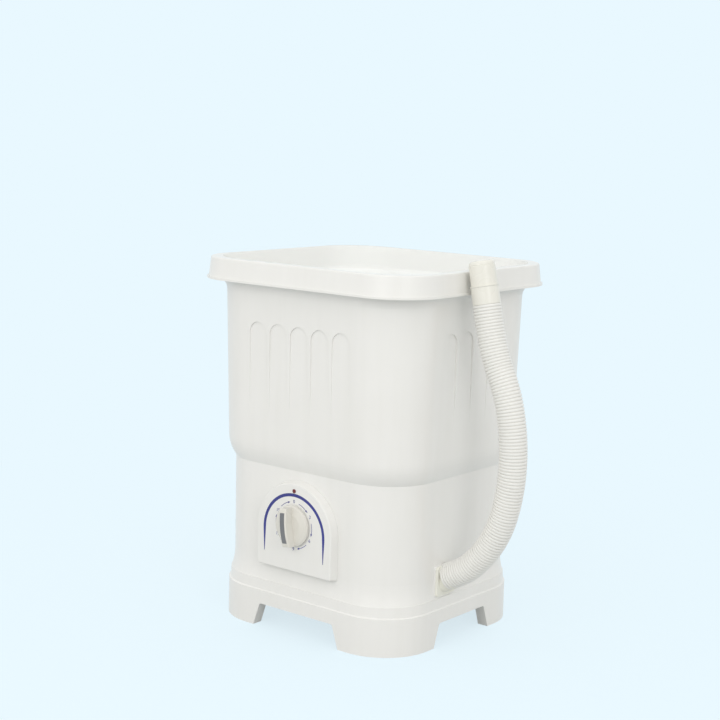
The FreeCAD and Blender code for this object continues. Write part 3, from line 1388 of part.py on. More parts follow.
def make_hose():
    """Ribbed hose: four circles for each rib, lofted along the middle line, and a plain bore."""
    path = hose_path()
    crest, valley, bore = d.hose_crest.value, d.hose_valley.value, d.hose_bore.value
    count = int(d.rib_count.value)
    pitch = path.Length / count
    side = Vector(0, 1, 0)
    shape_of_rib = [(0, valley), (0.16, crest), (0.7, crest), (0.86, valley)]

    def circle(distance, radius):
        centre, heading = point_along(path, distance)
        turned = Part.Circle(centre, heading, radius)
        turned.XAxis = side
        return Part.Wire(turned.toShape())

    outside = [circle((rib + share) * pitch, radius)
               for rib in range(count) for share, radius in shape_of_rib]
    outside.append(circle(path.Length, valley))
    skin = Part.makeLoft(outside, True, True)
    inside = [circle(share * pitch, bore) for share in range(count + 1)]
    hose = doc.addObject("Part::Feature", "drain_hose")
    hose.Label = "drain_hose"
    hose.Shape = skin.cut(Part.makeLoft(inside, True, True))
    hose.Placement = Placement()
    nodes["drain_hose"] = hose
    steps = zip(shape_of_rib, shape_of_rib[1:] + [(1, valley)])
    area = sum(math.pi * (next_share - share) * (radius ** 2 + radius * next_radius + next_radius ** 2) / 3
               for (share, radius), (next_share, next_radius) in steps) - math.pi * bore ** 2
    print("hose length", round(path.Length), "volume", round(hose.Shape.Volume),
          "section times length", round(area * path.Length))


def make_hose_end():
    """Smooth cuff in the hose's top end, its stopper, and the clip that holds it on the rim's skirt."""
    (low_x, low_z), (end_x, end_z) = HOSE_ROUTE[-2:]
    heading = Vector(end_x - low_x, 0, end_z - low_z)
    turn = Rotation(Vector(0, 0, 1), heading)
    where = {"x": end_x, "y": d.outlet_y, "z": end_z, "turn": turn}
    cuff = put(body("hose_end"), **where)
    insert = d.spigot_radius
    revolve(cuff, "cuff", [
        (d.outlet_bore, -d.cuff_insert), (insert, -d.cuff_insert), (insert, 0), (d.cuff_radius, 0),
        (d.cuff_radius, d.cuff_neck - d.ridge_width), (d.cuff_ridge, d.cuff_neck - d.ridge_width / 2),
        (d.cuff_ridge, d.cuff_neck), (d.cuff_top, d.cuff_neck), (d.cuff_top, d.cuff_length),
        (d.outlet_bore, d.cuff_length)])
    cap = put(body("hose_cap"), **where)
    foot, dome = d.cuff_length, d.cap_dome
    plug = d.outlet_bore - d.push_fit
    sleeve = d.cuff_top + d.seat_gap
    rim = sleeve + d.hook_wall
    revolve(cap, "cap", [
        (0, foot - d.cap_plug), (plug, foot - d.cap_plug), (plug, foot), (rim, foot),
        (rim, foot + dome * 0.22), (rim - d.cap_ring, foot + dome * 0.3),
        (rim - d.cap_ring / 2, foot + dome * 0.4),
        (rim * 0.96, foot + dome * 0.72), (rim * 0.87, foot + dome * 0.92), (rim * 0.6, foot + dome),
        (0, foot + dome)])

    # The clip grips the rim's lip beside the cuff, on the side away from the front
    strap, width = d.hook_strap, d.hook_width
    near_y = d.outlet_y + d.cuff_ridge + d.side_gap
    web_top = lip_z - d.free_hole
    web_low = web_top - strap
    finger_top = lip_z + d.hook_finger
    lean_in = d.rim_draft * d.hook_finger / d.rim_height
    finger_x = skirt_width / 2 - d.rim_wall - lean_in - d.free_hole - strap
    outer_x = lip_width / 2 + d.free_hole
    arm_low = finger_top + d.hook_rise
    arm_top = arm_low + d.hook_arm
    bars = []
    for label, x, y, z, length, depth, top in (
            ("hook_finger", finger_x, near_y, web_low, strap, width, finger_top),
            ("hook_web", finger_x, near_y, web_low, outer_x + strap - finger_x, width, web_top),
            ("hook_plate", outer_x, near_y, web_low, strap, width, arm_top),
            ("hook_arm", outer_x, d.outlet_y, arm_low, strap, near_y + width - d.outlet_y, arm_top)):
        bar = doc.addObject("Part::Box", label)
        bind(bar, "Length", length)
        bind(bar, "Width", depth)
        bind(bar, "Height", top - z)
        bars.append(put(bar, x, y, z))
    tubes = []
    for label, radius, low, high in (
            ("hook_collar", rim, d.cuff_neck, d.cuff_length),
            ("hook_bore", sleeve, as_size(0), 2 * d.cuff_length)):
        tube = doc.addObject("Part::Cylinder", label)
        bind(tube, "Radius", radius)
        bind(tube, "Height", high - low)
        unit = Vector(heading)
        unit.normalize()
        tubes.append(put(tube, end_x + unit.x * low, d.outlet_y, end_z + unit.z * low, turn))
    joined = doc.addObject("Part::MultiFuse", "hook_blank")
    joined.Shapes = bars + tubes[:1]
    hook = doc.addObject("Part::Cut", "hose_hook")
    hook.Base = joined
    hook.Tool = tubes[1]
    hook.Label = "hose_hook"
    nodes["hose_hook"] = hook


def make_gland():
    """Rubber gland for the mains lead in the casing's back wall."""
    gland = put(body("cord_gland"), d.gland_x, casing_front, d.gland_z, BACK)
    inner = -d.casing_wall
    hold, lip = inner - d.gland_hold, d.gland_neck + d.gland_lip
    revolve(gland, "gland", [
        (d.gland_bore, hold), (lip, hold), (lip, inner), (d.gland_neck, inner), (d.gland_neck, 0),
        (d.gland_flange, 0), (d.gland_flange - d.gland_lip, d.gland_depth), (d.gland_bore, d.gland_depth)])


def make_screws():
    fasteners("tub_screws", tub_screw_places, d.screw_head, d.screw_head_depth, d.screw_radius,
              d.flange_thickness + d.tub_screw_bite - d.side_gap, offset=d.casing_top - d.flange_thickness)
    fasteners("base_screws", post_places, d.screw_head, d.screw_head_depth, d.screw_radius,
              d.deck_height - d.arch_height + d.post_bite - d.end_gap, offset=d.arch_height)
    fasteners("panel_screws", panel_screw_places, d.small_head, d.small_head_depth, d.small_screw,
              d.casing_wall + d.panel_depth - d.panel_wall - d.boss_skin, "XZ_Plane",
              casing_front - d.casing_wall)


make_tub()
make_casing()
make_base()
make_panel()
make_knob()
make_timer()
make_indicator()
pulley_levels = make_pulsator()
make_housing()
make_motor(*pulley_levels)
make_belt(pulley_levels[1])
make_capacitor()
make_drain()
make_hose()
make_hose_end()
make_gland()
make_screws()
doc.recompute()

for item in doc.Objects:
    if "Invalid" in item.State or "Error" in item.State:
        raise ValueError(f"{item.Label} failed: {item.State}")
for label, piece in nodes.items():
    if piece.Shape.isNull() or not piece.Shape.isValid():
        raise ValueError(f"{label} has no valid shape")

os.makedirs("parts", exist_ok=True)
for label, piece in nodes.items():
    piece.Shape.exportStep(f"parts/{label}.step")
print(len(nodes), "nodes written")
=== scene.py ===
import math
import bmesh
import bpy
from mathutils import Matrix, Vector


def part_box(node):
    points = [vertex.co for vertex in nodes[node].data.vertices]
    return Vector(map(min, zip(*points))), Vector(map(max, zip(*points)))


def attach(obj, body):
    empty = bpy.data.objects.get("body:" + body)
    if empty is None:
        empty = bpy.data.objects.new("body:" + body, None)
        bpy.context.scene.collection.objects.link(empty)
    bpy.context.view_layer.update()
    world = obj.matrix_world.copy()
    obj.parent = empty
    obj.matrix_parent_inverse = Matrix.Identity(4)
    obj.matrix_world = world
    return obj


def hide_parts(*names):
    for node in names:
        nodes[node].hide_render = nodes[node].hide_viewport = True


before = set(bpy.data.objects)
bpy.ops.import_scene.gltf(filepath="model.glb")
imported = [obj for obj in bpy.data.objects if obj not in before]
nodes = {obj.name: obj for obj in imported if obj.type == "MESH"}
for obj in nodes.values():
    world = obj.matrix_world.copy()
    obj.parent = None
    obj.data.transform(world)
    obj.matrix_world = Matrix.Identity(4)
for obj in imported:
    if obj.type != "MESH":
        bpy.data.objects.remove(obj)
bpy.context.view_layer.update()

scene = bpy.context.scene
mm = 0.001


# small helpers

def hexColor(code):
    # sRGB hex to linear
    parts = [int(code[i:i + 2], 16) / 255 for i in (1, 3, 5)]
    return tuple(c / 12.92 if c <= 0.04045 else ((c + 0.055) / 1.055) ** 2.4 for c in parts) + (1.0,)


def addNode(tree, kind, settings=None, links=None):
    # settings by attribute or input name, links as input name -> output socket
    # "ramp" holds the two stops of a colour ramp as (position, colour)
    # a Mix node's colours are its inputs 6 and 7 and its output 2, its numbers the inputs 2 and 3
    node = tree.nodes.new(kind)
    for key, value in (settings or {}).items():
        if key == "ramp":
            for stop, (position, color) in zip(node.color_ramp.elements, value):
                stop.position = position
                stop.color = color
        elif isinstance(key, str) and hasattr(node, key):
            setattr(node, key, value)
        else:
            node.inputs[key].default_value = value
    for key, socket in (links or {}).items():
        tree.links.new(socket, node.inputs[key])
    return node


def newMaterial(name):
    material = bpy.data.materials.new(name)
    material.use_nodes = True
    tree = material.node_tree
    shader = tree.nodes["Principled BSDF"]
    return material, tree, shader


def steadyOrder(bm):
    # the operators leave points and faces in an order that changes from run to run, so they are sorted
    def middle(item):
        points = [v.co for v in item.verts] if hasattr(item, "verts") else [item.co]
        return tuple(round(sum(p[axis] for p in points) / len(points), 7) for axis in range(3))

    for items in (bm.verts, bm.edges, bm.faces):
        rank = {item: place for place, item in enumerate(sorted(items, key=middle))}
        items.sort(key=lambda item: rank[item])


def newPiece(name, bm, material, body):
    mesh = bpy.data.meshes.new(name)
    steadyOrder(bm)
    bm.to_mesh(mesh)
    bm.free()
    piece = bpy.data.objects.new(name, mesh)
    scene.collection.objects.link(piece)
    mesh.materials.append(material)
    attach(piece, body)
    return piece


def smoothFaces(piece, angle):
    # faces smooth, edges sharper than the angle stay crisp
    bm = bmesh.new()
    bm.from_mesh(piece.data)
    for face in bm.faces:
        face.smooth = True
    for edge in bm.edges:
        edge.smooth = len(edge.link_faces) == 2 and edge.calc_face_angle(0) < math.radians(angle)
    bm.to_mesh(piece.data)
    bm.free()


# camera at the photograph's angle

cameraLook = {
    "target": (0, 0, 0.270),
    "azimuth": 38.61,
    "elevation": 11.95,
    "distance": 2.2653,
    "roll": 1.61,
    "lens": 75.34, "sensor": 36,     # mm
    "shift": (-0.0153, 0.1094),
    "farClip": 50,
}


def makeCamera():
    az, el, roll = (math.radians(cameraLook[k]) for k in ("azimuth", "elevation", "roll"))
    right = Vector((math.cos(az), math.sin(az), 0))
    back = Vector((math.sin(az) * math.cos(el), -math.cos(az) * math.cos(el), math.sin(el)))
    up = back.cross(right)
    rolledRight = math.cos(roll) * right + math.sin(roll) * up
    rolledUp = -math.sin(roll) * right + math.cos(roll) * up
    data = bpy.data.cameras.new("camera")
    data.lens = cameraLook["lens"]
    data.sensor_width = cameraLook["sensor"]
    data.shift_x, data.shift_y = cameraLook["shift"]
    data.clip_end = cameraLook["farClip"]
    camera = bpy.data.objects.new("camera", data)
    place = Matrix((rolledRight, rolledUp, back)).transposed().to_4x4()
    place.translation = Vector(cameraLook["target"]) + back * cameraLook["distance"]
    camera.matrix_world = place
    scene.collection.objects.link(camera)
    scene.camera = camera


makeCamera()
print("camera set")


# light and floor

studio = {
    "background": "#E9F8FF",
    "bounce": "#BDBFBE",            # what the floor throws back on the object
    "fill": (1.01, 0.93),           # soft light from all round, at the horizon and overhead
    "fillTint": "#FFFEFC",
    "floorHalf": 9, "floorRoughness": 0.9,
    "shadowShare": 0.2,             # how much of the floor's own shading shows near the object
    "shadowReach": (0.35, 1.2),     # metres over which it fades away
    "lamps": [
        # name, place, aims at, size, power
        ("frontLamp", (0.29, -3.32, 1.65), (0, 0, 0.3), 1.5, 19),
        ("sideLamp", (2.95, -1.57, 1.65), (0, 0, 0.3), 1.2, 14.5),
    ],
}


def seenRays(tree):
    # 1 where the background is looked at, straight or in a reflection or through glass
    rays = addNode(tree, "ShaderNodeLightPath")
    shown = addNode(tree, "ShaderNodeMath", {"operation": "MAXIMUM"},
                    {0: rays.outputs["Is Camera Ray"], 1: rays.outputs["Is Glossy Ray"]})
    seen = addNode(tree, "ShaderNodeMath", {"operation": "MAXIMUM"},
                   {0: shown.outputs[0], 1: rays.outputs["Is Transmission Ray"]})
    return seen.outputs[0]


def makeStudio():
    scene.view_settings.view_transform = "Standard"
    world = bpy.data.worlds.new("studioWorld")
    scene.world = world
    world.use_nodes = True
    tree = world.node_tree
    tree.nodes.clear()
    seen = seenRays(tree)
    sky = addNode(tree, "ShaderNodeTexCoord")
    rise = addNode(tree, "ShaderNodeSeparateXYZ", None, {0: sky.outputs["Generated"]})
    horizon, overhead = studio["fill"]
    level = addNode(tree, "ShaderNodeMapRange", {"To Min": horizon, "To Max": overhead},
                    {"Value": rise.outputs["Z"]})
    fill = addNode(tree, "ShaderNodeBackground", {"Color": hexColor(studio["fillTint"])},
                   {"Strength": level.outputs["Result"]})
    pale = addNode(tree, "ShaderNodeBackground", {"Color": hexColor(studio["background"]), "Strength": 1.0})
    mix = addNode(tree, "ShaderNodeMixShader", None,
                  {0: seen, 1: fill.outputs[0], 2: pale.outputs[0]})
    addNode(tree, "ShaderNodeOutputWorld", None, {"Surface": mix.outputs[0]})

    for name, place, aim, size, power in studio["lamps"]:
        data = bpy.data.lights.new(name, "AREA")
        data.size = size
        data.energy = power
        lamp = bpy.data.objects.new(name, data)
        lamp.location = place
        lamp.rotation_euler = (Vector(aim) - Vector(place)).to_track_quat("-Z", "Y").to_euler()
        scene.collection.objects.link(lamp)

    # painted studio floor: matt, the backdrop's own pale blue, with a soft shadow left in
    material, tree, shader = newMaterial("paintedStudioFloor")
    output = tree.nodes["Material Output"]
    shader.inputs["Roughness"].default_value = studio["floorRoughness"]
    seen = seenRays(tree)
    paint = addNode(tree, "ShaderNodeMix", {"data_type": "RGBA", 6: hexColor(studio["bounce"]),
                                            7: hexColor(studio["background"])},
                    {0: seen})
    tree.links.new(paint.outputs[2], shader.inputs["Base Color"])
    place = addNode(tree, "ShaderNodeTexCoord")
    away = addNode(tree, "ShaderNodeVectorMath", {"operation": "LENGTH"}, {0: place.outputs["Object"]})
    near, far = studio["shadowReach"]
    plain = addNode(tree, "ShaderNodeMapRange", {"interpolation_type": "SMOOTHSTEP", "From Min": near,
                                                 "From Max": far, "To Min": 1 - studio["shadowShare"],
                                                 "To Max": 1.0}, {"Value": away.outputs["Value"]})
    share = addNode(tree, "ShaderNodeMath", {"operation": "MULTIPLY"},
                    {0: seen, 1: plain.outputs["Result"]})
    glow = addNode(tree, "ShaderNodeEmission", {"Color": hexColor(studio["background"]), "Strength": 1.0})
    mix = addNode(tree, "ShaderNodeMixShader", None,
                  {0: share.outputs[0], 1: shader.outputs[0], 2: glow.outputs[0]})
    tree.links.new(mix.outputs[0], output.inputs["Surface"])
    bm = bmesh.new()
    bmesh.ops.create_grid(bm, x_segments=1, y_segments=1, size=studio["floorHalf"])
    mesh = bpy.data.meshes.new("studioFloor")
    bm.to_mesh(mesh)
    bm.free()
    mesh.materials.append(material)
    floor = bpy.data.objects.new("studioFloor", mesh)
    scene.collection.objects.link(floor)


makeStudio()
print("light and floor set")


# finishes

moulded = {
    "cloudMm": 90, "flowMm": 14, "flowStretch": 0.06,
    "toneSpan": (0.25, 0.7),        # where in the noise the shade ends and the tone begins
    "wearMm": 60, "wearSpan": (0.3, 0.7), "shineSpread": (-0.02, 0.03),
    "peelMm": 3, "peelDepthMm": 0.15, "peelStrength": 0.05,
    "innerFacing": (-0.4, -0.8),    # how squarely a wall faces the middle as the painted inner light sets in
    "ior": 1.49,
}


def mouldedPlastic(name, tone, shade, roughness, streak=0.0, paintedInnerLight=None):
    # injection-moulded polypropylene: a soft shine with a slight orange peel, faint flow streaks down
    # the walls and a cloudy change of tone; in other tones also the rubber, the ink and the lamp
    material, tree, shader = newMaterial(name)
    place = addNode(tree, "ShaderNodeTexCoord")
    cloud = addNode(tree, "ShaderNodeTexNoise", {"Scale": 1 / (moulded["cloudMm"] * mm), "Detail": 3.0,
                                                 "Roughness": 0.5}, {"Vector": place.outputs["Object"]})
    tall = addNode(tree, "ShaderNodeMapping", {"Scale": (1, 1, moulded["flowStretch"])},
                   {"Vector": place.outputs["Object"]})
    flow = addNode(tree, "ShaderNodeTexNoise", {"Scale": 1 / (moulded["flowMm"] * mm), "Detail": 2.0},
                   {"Vector": tall.outputs["Vector"]})
    both = addNode(tree, "ShaderNodeMix", {"data_type": "FLOAT", 0: streak},
                   {2: cloud.outputs["Fac"], 3: flow.outputs["Fac"]})
    low, high = moulded["toneSpan"]
    tones = addNode(tree, "ShaderNodeValToRGB", {"ramp": [(low, hexColor(shade)), (high, hexColor(tone))]},
                    {"Fac": both.outputs[0]})
    color = tones.outputs["Color"]
    if paintedInnerLight:
        # painted light: walls that face the middle are painted a lighter white
        # a lighter tone on walls that face the middle, matched to the photograph: it stands for the light
        # that the real wall seems to let through
        start, full = moulded["innerFacing"]
        flat = addNode(tree, "ShaderNodeMapping", {"Scale": (1, 1, 0)}, {"Vector": place.outputs["Object"]})
        outwards = addNode(tree, "ShaderNodeVectorMath", {"operation": "NORMALIZE"},
                           {0: flat.outputs["Vector"]})
        facing = addNode(tree, "ShaderNodeVectorMath", {"operation": "DOT_PRODUCT"},
                         {0: place.outputs["Normal"], 1: outwards.outputs["Vector"]})
        inside = addNode(tree, "ShaderNodeMapRange", {"From Min": start, "From Max": full},
                         {"Value": facing.outputs["Value"]})
        lift = addNode(tree, "ShaderNodeMix", {"data_type": "RGBA", 7: hexColor(paintedInnerLight)},
                       {0: inside.outputs["Result"], 6: color})
        color = lift.outputs[2]
    # handling leaves the shine uneven at about the size of a hand
    low, high = moulded["wearSpan"]
    glossier, duller = moulded["shineSpread"]
    wear = addNode(tree, "ShaderNodeTexNoise", {"Scale": 1 / (moulded["wearMm"] * mm), "Detail": 2.0},
                   {"Vector": place.outputs["Object"]})
    shine = addNode(tree, "ShaderNodeMapRange", {"From Min": low, "From Max": high,
                                                 "To Min": roughness + glossier,
                                                 "To Max": roughness + duller},
                    {"Value": wear.outputs["Fac"]})
    # slight orange peel, drawn coarse enough to show
    peel = addNode(tree, "ShaderNodeTexNoise", {"Scale": 1 / (moulded["peelMm"] * mm), "Detail": 2.0},
                   {"Vector": place.outputs["Object"]})
    bump = addNode(tree, "ShaderNodeBump", {"Strength": moulded["peelStrength"],
                                            "Distance": moulded["peelDepthMm"] * mm},
                   {"Height": peel.outputs["Fac"]})
    tree.links.new(color, shader.inputs["Base Color"])
    tree.links.new(shine.outputs["Result"], shader.inputs["Roughness"])
    tree.links.new(bump.outputs["Normal"], shader.inputs["Normal"])
    shader.inputs["IOR"].default_value = moulded["ior"]
    return material


metal = {
    "grainSpan": (0.3, 0.7), "shineSpread": (-0.08, 0.1),
    "grainDepthMm": 0.1, "grainStrength": 0.15,
}


def grainedMetal(name, tone, shade, roughness, grainMm, metallic=1.0):
    # metal with a fine grain left by rolling, casting or plating
    material, tree, shader = newMaterial(name)
    place = addNode(tree, "ShaderNodeTexCoord")
    grain = addNode(tree, "ShaderNodeTexNoise", {"Scale": 1 / (grainMm * mm), "Detail": 4.0},
                    {"Vector": place.outputs["Object"]})
    low, high = metal["grainSpan"]
    glossier, duller = metal["shineSpread"]
    tones = addNode(tree, "ShaderNodeValToRGB", {"ramp": [(low, hexColor(shade)), (high, hexColor(tone))]},
                    {"Fac": grain.outputs["Fac"]})
    shine = addNode(tree, "ShaderNodeMapRange", {"From Min": low, "From Max": high,
                                                 "To Min": roughness + glossier,
                                                 "To Max": roughness + duller},
                    {"Value": grain.outputs["Fac"]})
    bump = addNode(tree, "ShaderNodeBump", {"Strength": metal["grainStrength"],
                                            "Distance": metal["grainDepthMm"] * mm},
                   {"Height": grain.outputs["Fac"]})
    tree.links.new(tones.outputs["Color"], shader.inputs["Base Color"])
    tree.links.new(shine.outputs["Result"], shader.inputs["Roughness"])
    tree.links.new(bump.outputs["Normal"], shader.inputs["Normal"])
    shader.inputs["Metallic"].default_value = metallic
    return material


blown = {
    "mottleMm": 25, "mottleShare": 0.25,
    "crestAt": 0.75,                # rib height from which the crest's tone holds
    "shine": (0.5, 0.36),           # roughness in the valleys and on the crests
    "ior": 1.5,
}


def hosePlastic(name, crest, valley):
    # blown polyethylene hose: satin ribs, the valleys in a darker tone than the crests and mottled by a
    # noise, told apart by the rib attribute
    material, tree, shader = newMaterial(name)
    rib = addNode(tree, "ShaderNodeAttribute", {"attribute_name": "rib"})
    place = addNode(tree, "ShaderNodeTexCoord")
    mottle = addNode(tree, "ShaderNodeTexNoise", {"Scale": 1 / (blown["mottleMm"] * mm), "Detail": 5.0},
                   {"Vector": place.outputs["Object"]})
    mottled = addNode(tree, "ShaderNodeMath", {"operation": "MULTIPLY_ADD", 1: blown["mottleShare"],
                                            2: -blown["mottleShare"] / 2}, {0: mottle.outputs["Fac"]})
    height = addNode(tree, "ShaderNodeMath", {"operation": "ADD", "use_clamp": True},
                     {0: rib.outputs["Fac"], 1: mottled.outputs[0]})
    # the valleys take the darker tone, the crests the lighter one
    tones = addNode(tree, "ShaderNodeValToRGB",
                    {"ramp": [(0.0, hexColor(valley)), (blown["crestAt"], hexColor(crest))]},
                    {"Fac": height.outputs[0]})
    tree.links.new(tones.outputs["Color"], shader.inputs["Base Color"])
    dull, satin = blown["shine"]
    shine = addNode(tree, "ShaderNodeMapRange", {"To Min": dull, "To Max": satin},
                    {"Value": height.outputs[0]})
    tree.links.new(shine.outputs["Result"], shader.inputs["Roughness"])
    shader.inputs["IOR"].default_value = blown["ior"]
    return material


shell = {"tone": "#EDECE9", "shade": "#E9E8E4", "roughness": 0.30, "streak": 0.45}
shellWhite = mouldedPlastic("mouldedWhiteShell", **shell)
# the tub: the shell's white, with painted light on the walls that face the middle
tubWhiteWithPaintedLight = mouldedPlastic("mouldedWhiteTubPaintedLight", paintedInnerLight="#F6F7F5", **shell)
fittingWhite = mouldedPlastic("mouldedWhiteFitting", "#EBE9E1", "#E6E4DA", 0.27)
knobWhite = mouldedPlastic("mouldedKnob", "#E1DED6", "#DAD7CE", 0.27)
creamFitting = mouldedPlastic("mouldedCreamFitting", "#EEEDE3", "#E6E4D8", 0.36)
pointerGrey = mouldedPlastic("greyInlay", "#7C7D80", "#6C6D71", 0.30)
lensRed = mouldedPlastic("clearRedLens", "#7E2A2A", "#6A2020", 0.15)
printBlue = mouldedPlastic("blueScreenPrint", "#3C3F92", "#34377F", 0.42)
darkCase = mouldedPlastic("blackMouldedCase", "#2A2A2C", "#222224", 0.45)
sealRubber = mouldedPlastic("blackSealRubber", "#242424", "#1C1C1C", 0.62)
elbowRubber = mouldedPlastic("greyElbowRubber", "#5A5A5C", "#4E4E50", 0.6)
platedSteel = grainedMetal("zincPlatedSteel", "#C9CBCC", "#B4B6B8", 0.32, 4)
bushBronze = grainedMetal("sinteredBronze", "#B98A52", "#9C7140", 0.42, 1.5)
castAlloy = grainedMetal("castAluminium", "#C2C3C4", "#A9AAAC", 0.48, 2)
motorEnamel = grainedMetal("darkMotorEnamel", "#3B3D42", "#313338", 0.4, 8, metallic=0.0)
lampGlass = mouldedPlastic("neonLampGlass", "#E8C9B4", "#DDB79E", 0.1)
hoseSkin = hosePlastic("blownHosePlastic", "#EBEAE6", "#E1DFD9")

nodeFinish = {
    "wash_tub": tubWhiteWithPaintedLight, "tub_floor": tubWhiteWithPaintedLight, "lower_casing": shellWhite, "base_plinth": shellWhite,
    "control_panel": shellWhite, "timer_knob": knobWhite,
    "hose_hook": fittingWhite, "hose_end": fittingWhite, "hose_cap": fittingWhite,
    "knob_pointer": pointerGrey, "indicator_lens": lensRed, "indicator_lamp": lampGlass,
    "drain_outlet": creamFitting, "outlet_nut": creamFitting, "drain_strainer": fittingWhite,
    "pulsator": fittingWhite, "outlet_seal": sealRubber, "shaft_seal": sealRubber,
    "motor_mounts": sealRubber, "cord_gland": sealRubber, "drive_belt": sealRubber,
    "drain_elbow": elbowRubber, "upper_bush": bushBronze, "lower_bush": bushBronze,
    "shaft_housing": castAlloy, "motor_pulley": castAlloy,
    "motor_upper_bell": castAlloy, "motor_lower_bell": castAlloy, "motor_stator": motorEnamel,
    "motor_bracket": motorEnamel, "drive_pulley": darkCase, "wash_timer": darkCase, "capacitor": darkCase,
}
for name, node in nodes.items():
    finish = nodeFinish.get(name, platedSteel)
    node.data.materials.clear()
    node.data.materials.append(finish)
print("finishes on", len(nodes), "nodes")


# ribbed drain hose

hose = {
    "route": [(181.5, 103.4), (203, 112.5), (228.5, 133), (254.5, 166), (272, 205), (282.5, 262),
              (281.5, 320), (269, 379), (240.5, 436), (227.5, 498.6)],     # x, z in mm at one depth
    "depth": -41,
    "crest": 19.6, "valley": 18.3, "bore": 16.2,     # radii
    "ribs": 100,
    "ribShape": [(0.0, 0.0), (0.1, 0.8), (0.22, 1.0), (0.64, 1.0), (0.76, 0.8), (0.86, 0.0)],
    # ribShape: share of the pitch, share of the rib's height
    "sides": 44, "lineSteps": 48, "weld": 0.01, "crispAngle": 50,
}


def hoseLine():
    # the route as a smooth spline, read back as points
    data = bpy.data.curves.new("hoseRoute", "CURVE")
    data.dimensions = "3D"
    data.resolution_u = hose["lineSteps"]
    spline = data.splines.new("NURBS")
    spline.points.add(len(hose["route"]) - 1)
    for point, (x, z) in zip(spline.points, hose["route"]):
        point.co = (x * mm, hose["depth"] * mm, z * mm, 1)
    spline.order_u = 3
    spline.use_endpoint_u = True
    curve = bpy.data.objects.new("hoseRoute", data)
    scene.collection.objects.link(curve)
    mesh = bpy.data.meshes.new_from_object(curve)
    points = [v.co.copy() for v in mesh.vertices]
    bpy.data.meshes.remove(mesh)
    bpy.data.objects.remove(curve)
    bpy.data.curves.remove(data)
    return points


def makeHose():
    line = hoseLine()
    steps = [0.0]
    for a, b in zip(line, line[1:]):
        steps.append(steps[-1] + (b - a).length)
    length = steps[-1]
    pitch = length / hose["ribs"]

    # a straight hose spun from half a section, then laid along the line
    crest, valley, bore = (hose[k] * mm for k in ("crest", "valley", "bore"))
    bm = bmesh.new()
    ribShape = [(along, valley + rise * (crest - valley)) for along, rise in hose["ribShape"]]
    section = [(bore, 0.0)]
    section += [(r, (i + s) * pitch) for i in range(hose["ribs"]) for s, r in ribShape]
    section += [(valley, length), (bore, length)]
    verts = [bm.verts.new((r, 0, z)) for r, z in section]
    edges = [bm.edges.new(pair) for pair in zip(verts, verts[1:])]
    bmesh.ops.spin(bm, geom=verts + edges, cent=(0, 0, 0), axis=(0, 0, 1), angle=math.tau,
                   steps=hose["sides"], use_merge=True)
    bmesh.ops.remove_doubles(bm, verts=bm.verts, dist=hose["weld"] * mm)
    rib = bm.verts.layers.float.new("rib")
    place = 0
    side = Vector((0, 1, 0))
    for v in sorted(bm.verts, key=lambda item: item.co.z):
        radius = math.hypot(v.co.x, v.co.y)
        v[rib] = min(1, max(0, (radius - valley) / (crest - valley)))
        while place < len(steps) - 2 and steps[place + 1] < v.co.z:
            place += 1
        share = (v.co.z - steps[place]) / (steps[place + 1] - steps[place])
        ahead = line[min(place + 2, len(line) - 1)] - line[max(place - 1, 0)]
        out = ahead.normalized().cross(side)
        v.co = line[place].lerp(line[place + 1], share) + side * v.co.x + out * v.co.y
    bmesh.ops.recalc_face_normals(bm, faces=bm.faces)
    piece = newPiece("ribbedHose", bm, hoseSkin, "cabinet")
    smoothFaces(piece, hose["crispAngle"])
    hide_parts("drain_hose")
    print("hose laid,", round(length, 4), "m long")


makeHose()


# blue print on the panel

dial = {
    "faceY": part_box("control_panel")[0][1],
    "ink": 0.12,                # thickness in mm
    "archHalf": 56, "archSpring": 157, "archFoot": 121.5, "archBand": 4.6, "archTip": 0.9,
    "centreZ": 168.5, "arcRadius": 34.2, "arcBand": 1.5, "numberRadius": 35, "numberSize": 7,
    "numbers": ["0", "3", "6", "9", "12", "15"],
    "arcStart": 15, "arcEnd": 41, "arrowLength": 4.2, "arrowWidth": 3.0,
    "arcTail": 0.25,            # share of the band on each side where an arc starts, half at its end
    "archSteps": 48, "arcSteps": 14,
}


def inkSheet(bm):
    # flat print gets a hair of thickness and stands on the panel's face
    bmesh.ops.recalc_face_normals(bm, faces=bm.faces)
    for face in bm.faces:
        if face.normal.y > 0:
            face.normal_flip()
    made = bmesh.ops.extrude_face_region(bm, geom=bm.faces[:])
    raised = [item for item in made["geom"] if isinstance(item, bmesh.types.BMVert)]
    bmesh.ops.translate(bm, verts=raised, vec=(0, -dial["ink"] * mm, 0))
    bmesh.ops.recalc_face_normals(bm, faces=bm.faces)


def printArch():
    half, band, spring = dial["archHalf"] * mm, dial["archBand"] * mm, dial["archSpring"] * mm
    bm = bmesh.new()
    inner = bm.verts.new((half - band / 2, dial["faceY"], spring))
    outer = bm.verts.new((half + band / 2, dial["faceY"], spring))
    edge = bm.edges.new((inner, outer))
    spun = bmesh.ops.spin(bm, geom=[inner, outer, edge], cent=(0, dial["faceY"], spring), axis=(0, -1, 0),
                          angle=math.pi, steps=dial["archSteps"])
    far = [item for item in spun["geom_last"] if isinstance(item, bmesh.types.BMEdge)]
    for last, sign in ((edge, 1), (far[0], -1)):
        foot = bmesh.ops.extrude_edge_only(bm, edges=[last])
        low = [item for item in foot["geom"] if isinstance(item, bmesh.types.BMVert)]
        for v in low:
            lean = 1 if abs(v.co.x) > half else -1
            v.co = (sign * (half + lean * dial["archTip"] * mm / 2), dial["faceY"], dial["archFoot"] * mm)
    inkSheet(bm)
    newPiece("printedArch", bm, printBlue, "cabinet")


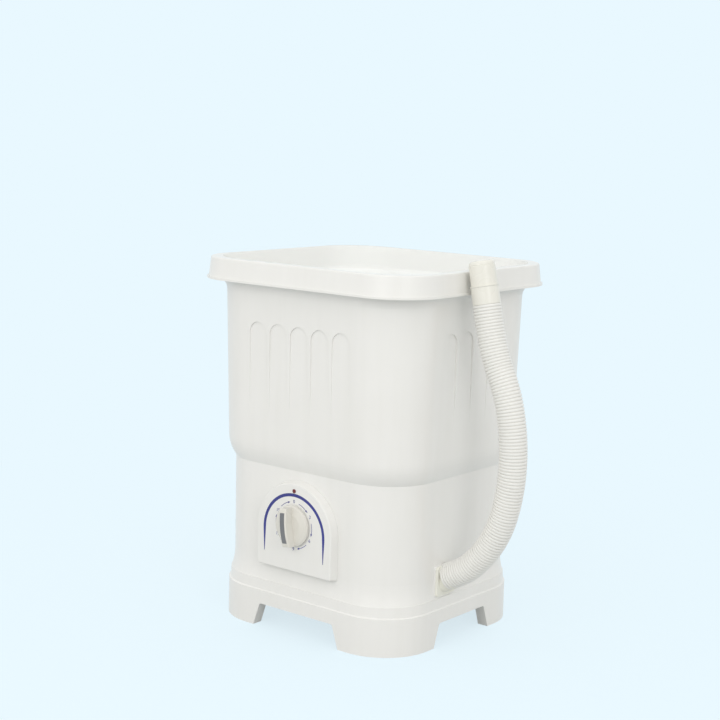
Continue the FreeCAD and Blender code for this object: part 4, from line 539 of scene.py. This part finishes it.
def printArrows():
    bm = bmesh.new()
    count = len(dial["numbers"])
    for index in range(count):
        arrow = bmesh.new()
        radius, band, tail = dial["arcRadius"] * mm, dial["arcBand"] * mm, dial["arcTail"]
        start = math.radians(dial["arcStart"])
        sweep = math.radians(dial["arcEnd"] - dial["arcStart"])
        verts = [arrow.verts.new((0, 0, radius + side * tail * band)) for side in (-1, 1)]
        edge = arrow.edges.new(verts)
        bmesh.ops.rotate(arrow, verts=verts, cent=(0, 0, 0), matrix=Matrix.Rotation(start, 3, "Y"))
        spun = bmesh.ops.spin(arrow, geom=verts + [edge], cent=(0, 0, 0), axis=(0, 1, 0), angle=sweep,
                              steps=dial["arcSteps"])
        end = [item for item in spun["geom_last"] if isinstance(item, bmesh.types.BMEdge)][0]
        for v in end.verts:
            side = 1 if v.co.length > radius else -1
            v.co *= 1 + side * (0.5 - tail) * band / radius
        middle = start + sweep
        along = Vector((math.cos(middle), 0, -math.sin(middle)))
        across = Vector((math.sin(middle), 0, math.cos(middle)))
        base = across * radius
        tip = base + along * dial["arrowLength"] * mm
        wing = across * dial["arrowWidth"] * mm / 2
        corners = [base + wing, tip, base - wing]
        arrow.faces.new([arrow.verts.new(c) for c in corners])
        turn = Matrix.Rotation(index * math.tau / count, 4, "Y")
        place = Matrix.Translation((0, dial["faceY"], dial["centreZ"] * mm))
        bmesh.ops.transform(arrow, matrix=place @ turn, verts=arrow.verts)
        part = bpy.data.meshes.new("arrowPart")
        arrow.to_mesh(part)
        arrow.free()
        bm.from_mesh(part)
        bpy.data.meshes.remove(part)
    inkSheet(bm)
    newPiece("printedArrows", bm, printBlue, "cabinet")


def printNumbers():
    bm = bmesh.new()
    count = len(dial["numbers"])
    for index, number in enumerate(dial["numbers"]):
        data = bpy.data.curves.new("dialNumber", "FONT")
        data.body = number
        data.size = dial["numberSize"] * mm
        data.align_x = "CENTER"
        data.align_y = "CENTER"
        text = bpy.data.objects.new("dialNumber", data)
        scene.collection.objects.link(text)
        part = bpy.data.meshes.new_from_object(text)
        angle = index * math.tau / count
        reach = dial["numberRadius"] * mm
        place = Matrix.Translation((reach * math.sin(angle), dial["faceY"],
                                    dial["centreZ"] * mm + reach * math.cos(angle)))
        part.transform(place @ Matrix.Rotation(math.pi / 2, 4, "X"))
        bm.from_mesh(part)
        bpy.data.meshes.remove(part)
        bpy.data.objects.remove(text)
        bpy.data.curves.remove(data)
    inkSheet(bm)
    newPiece("printedNumbers", bm, printBlue, "cabinet")


printArch()
printArrows()
printNumbers()
print("dial printed")
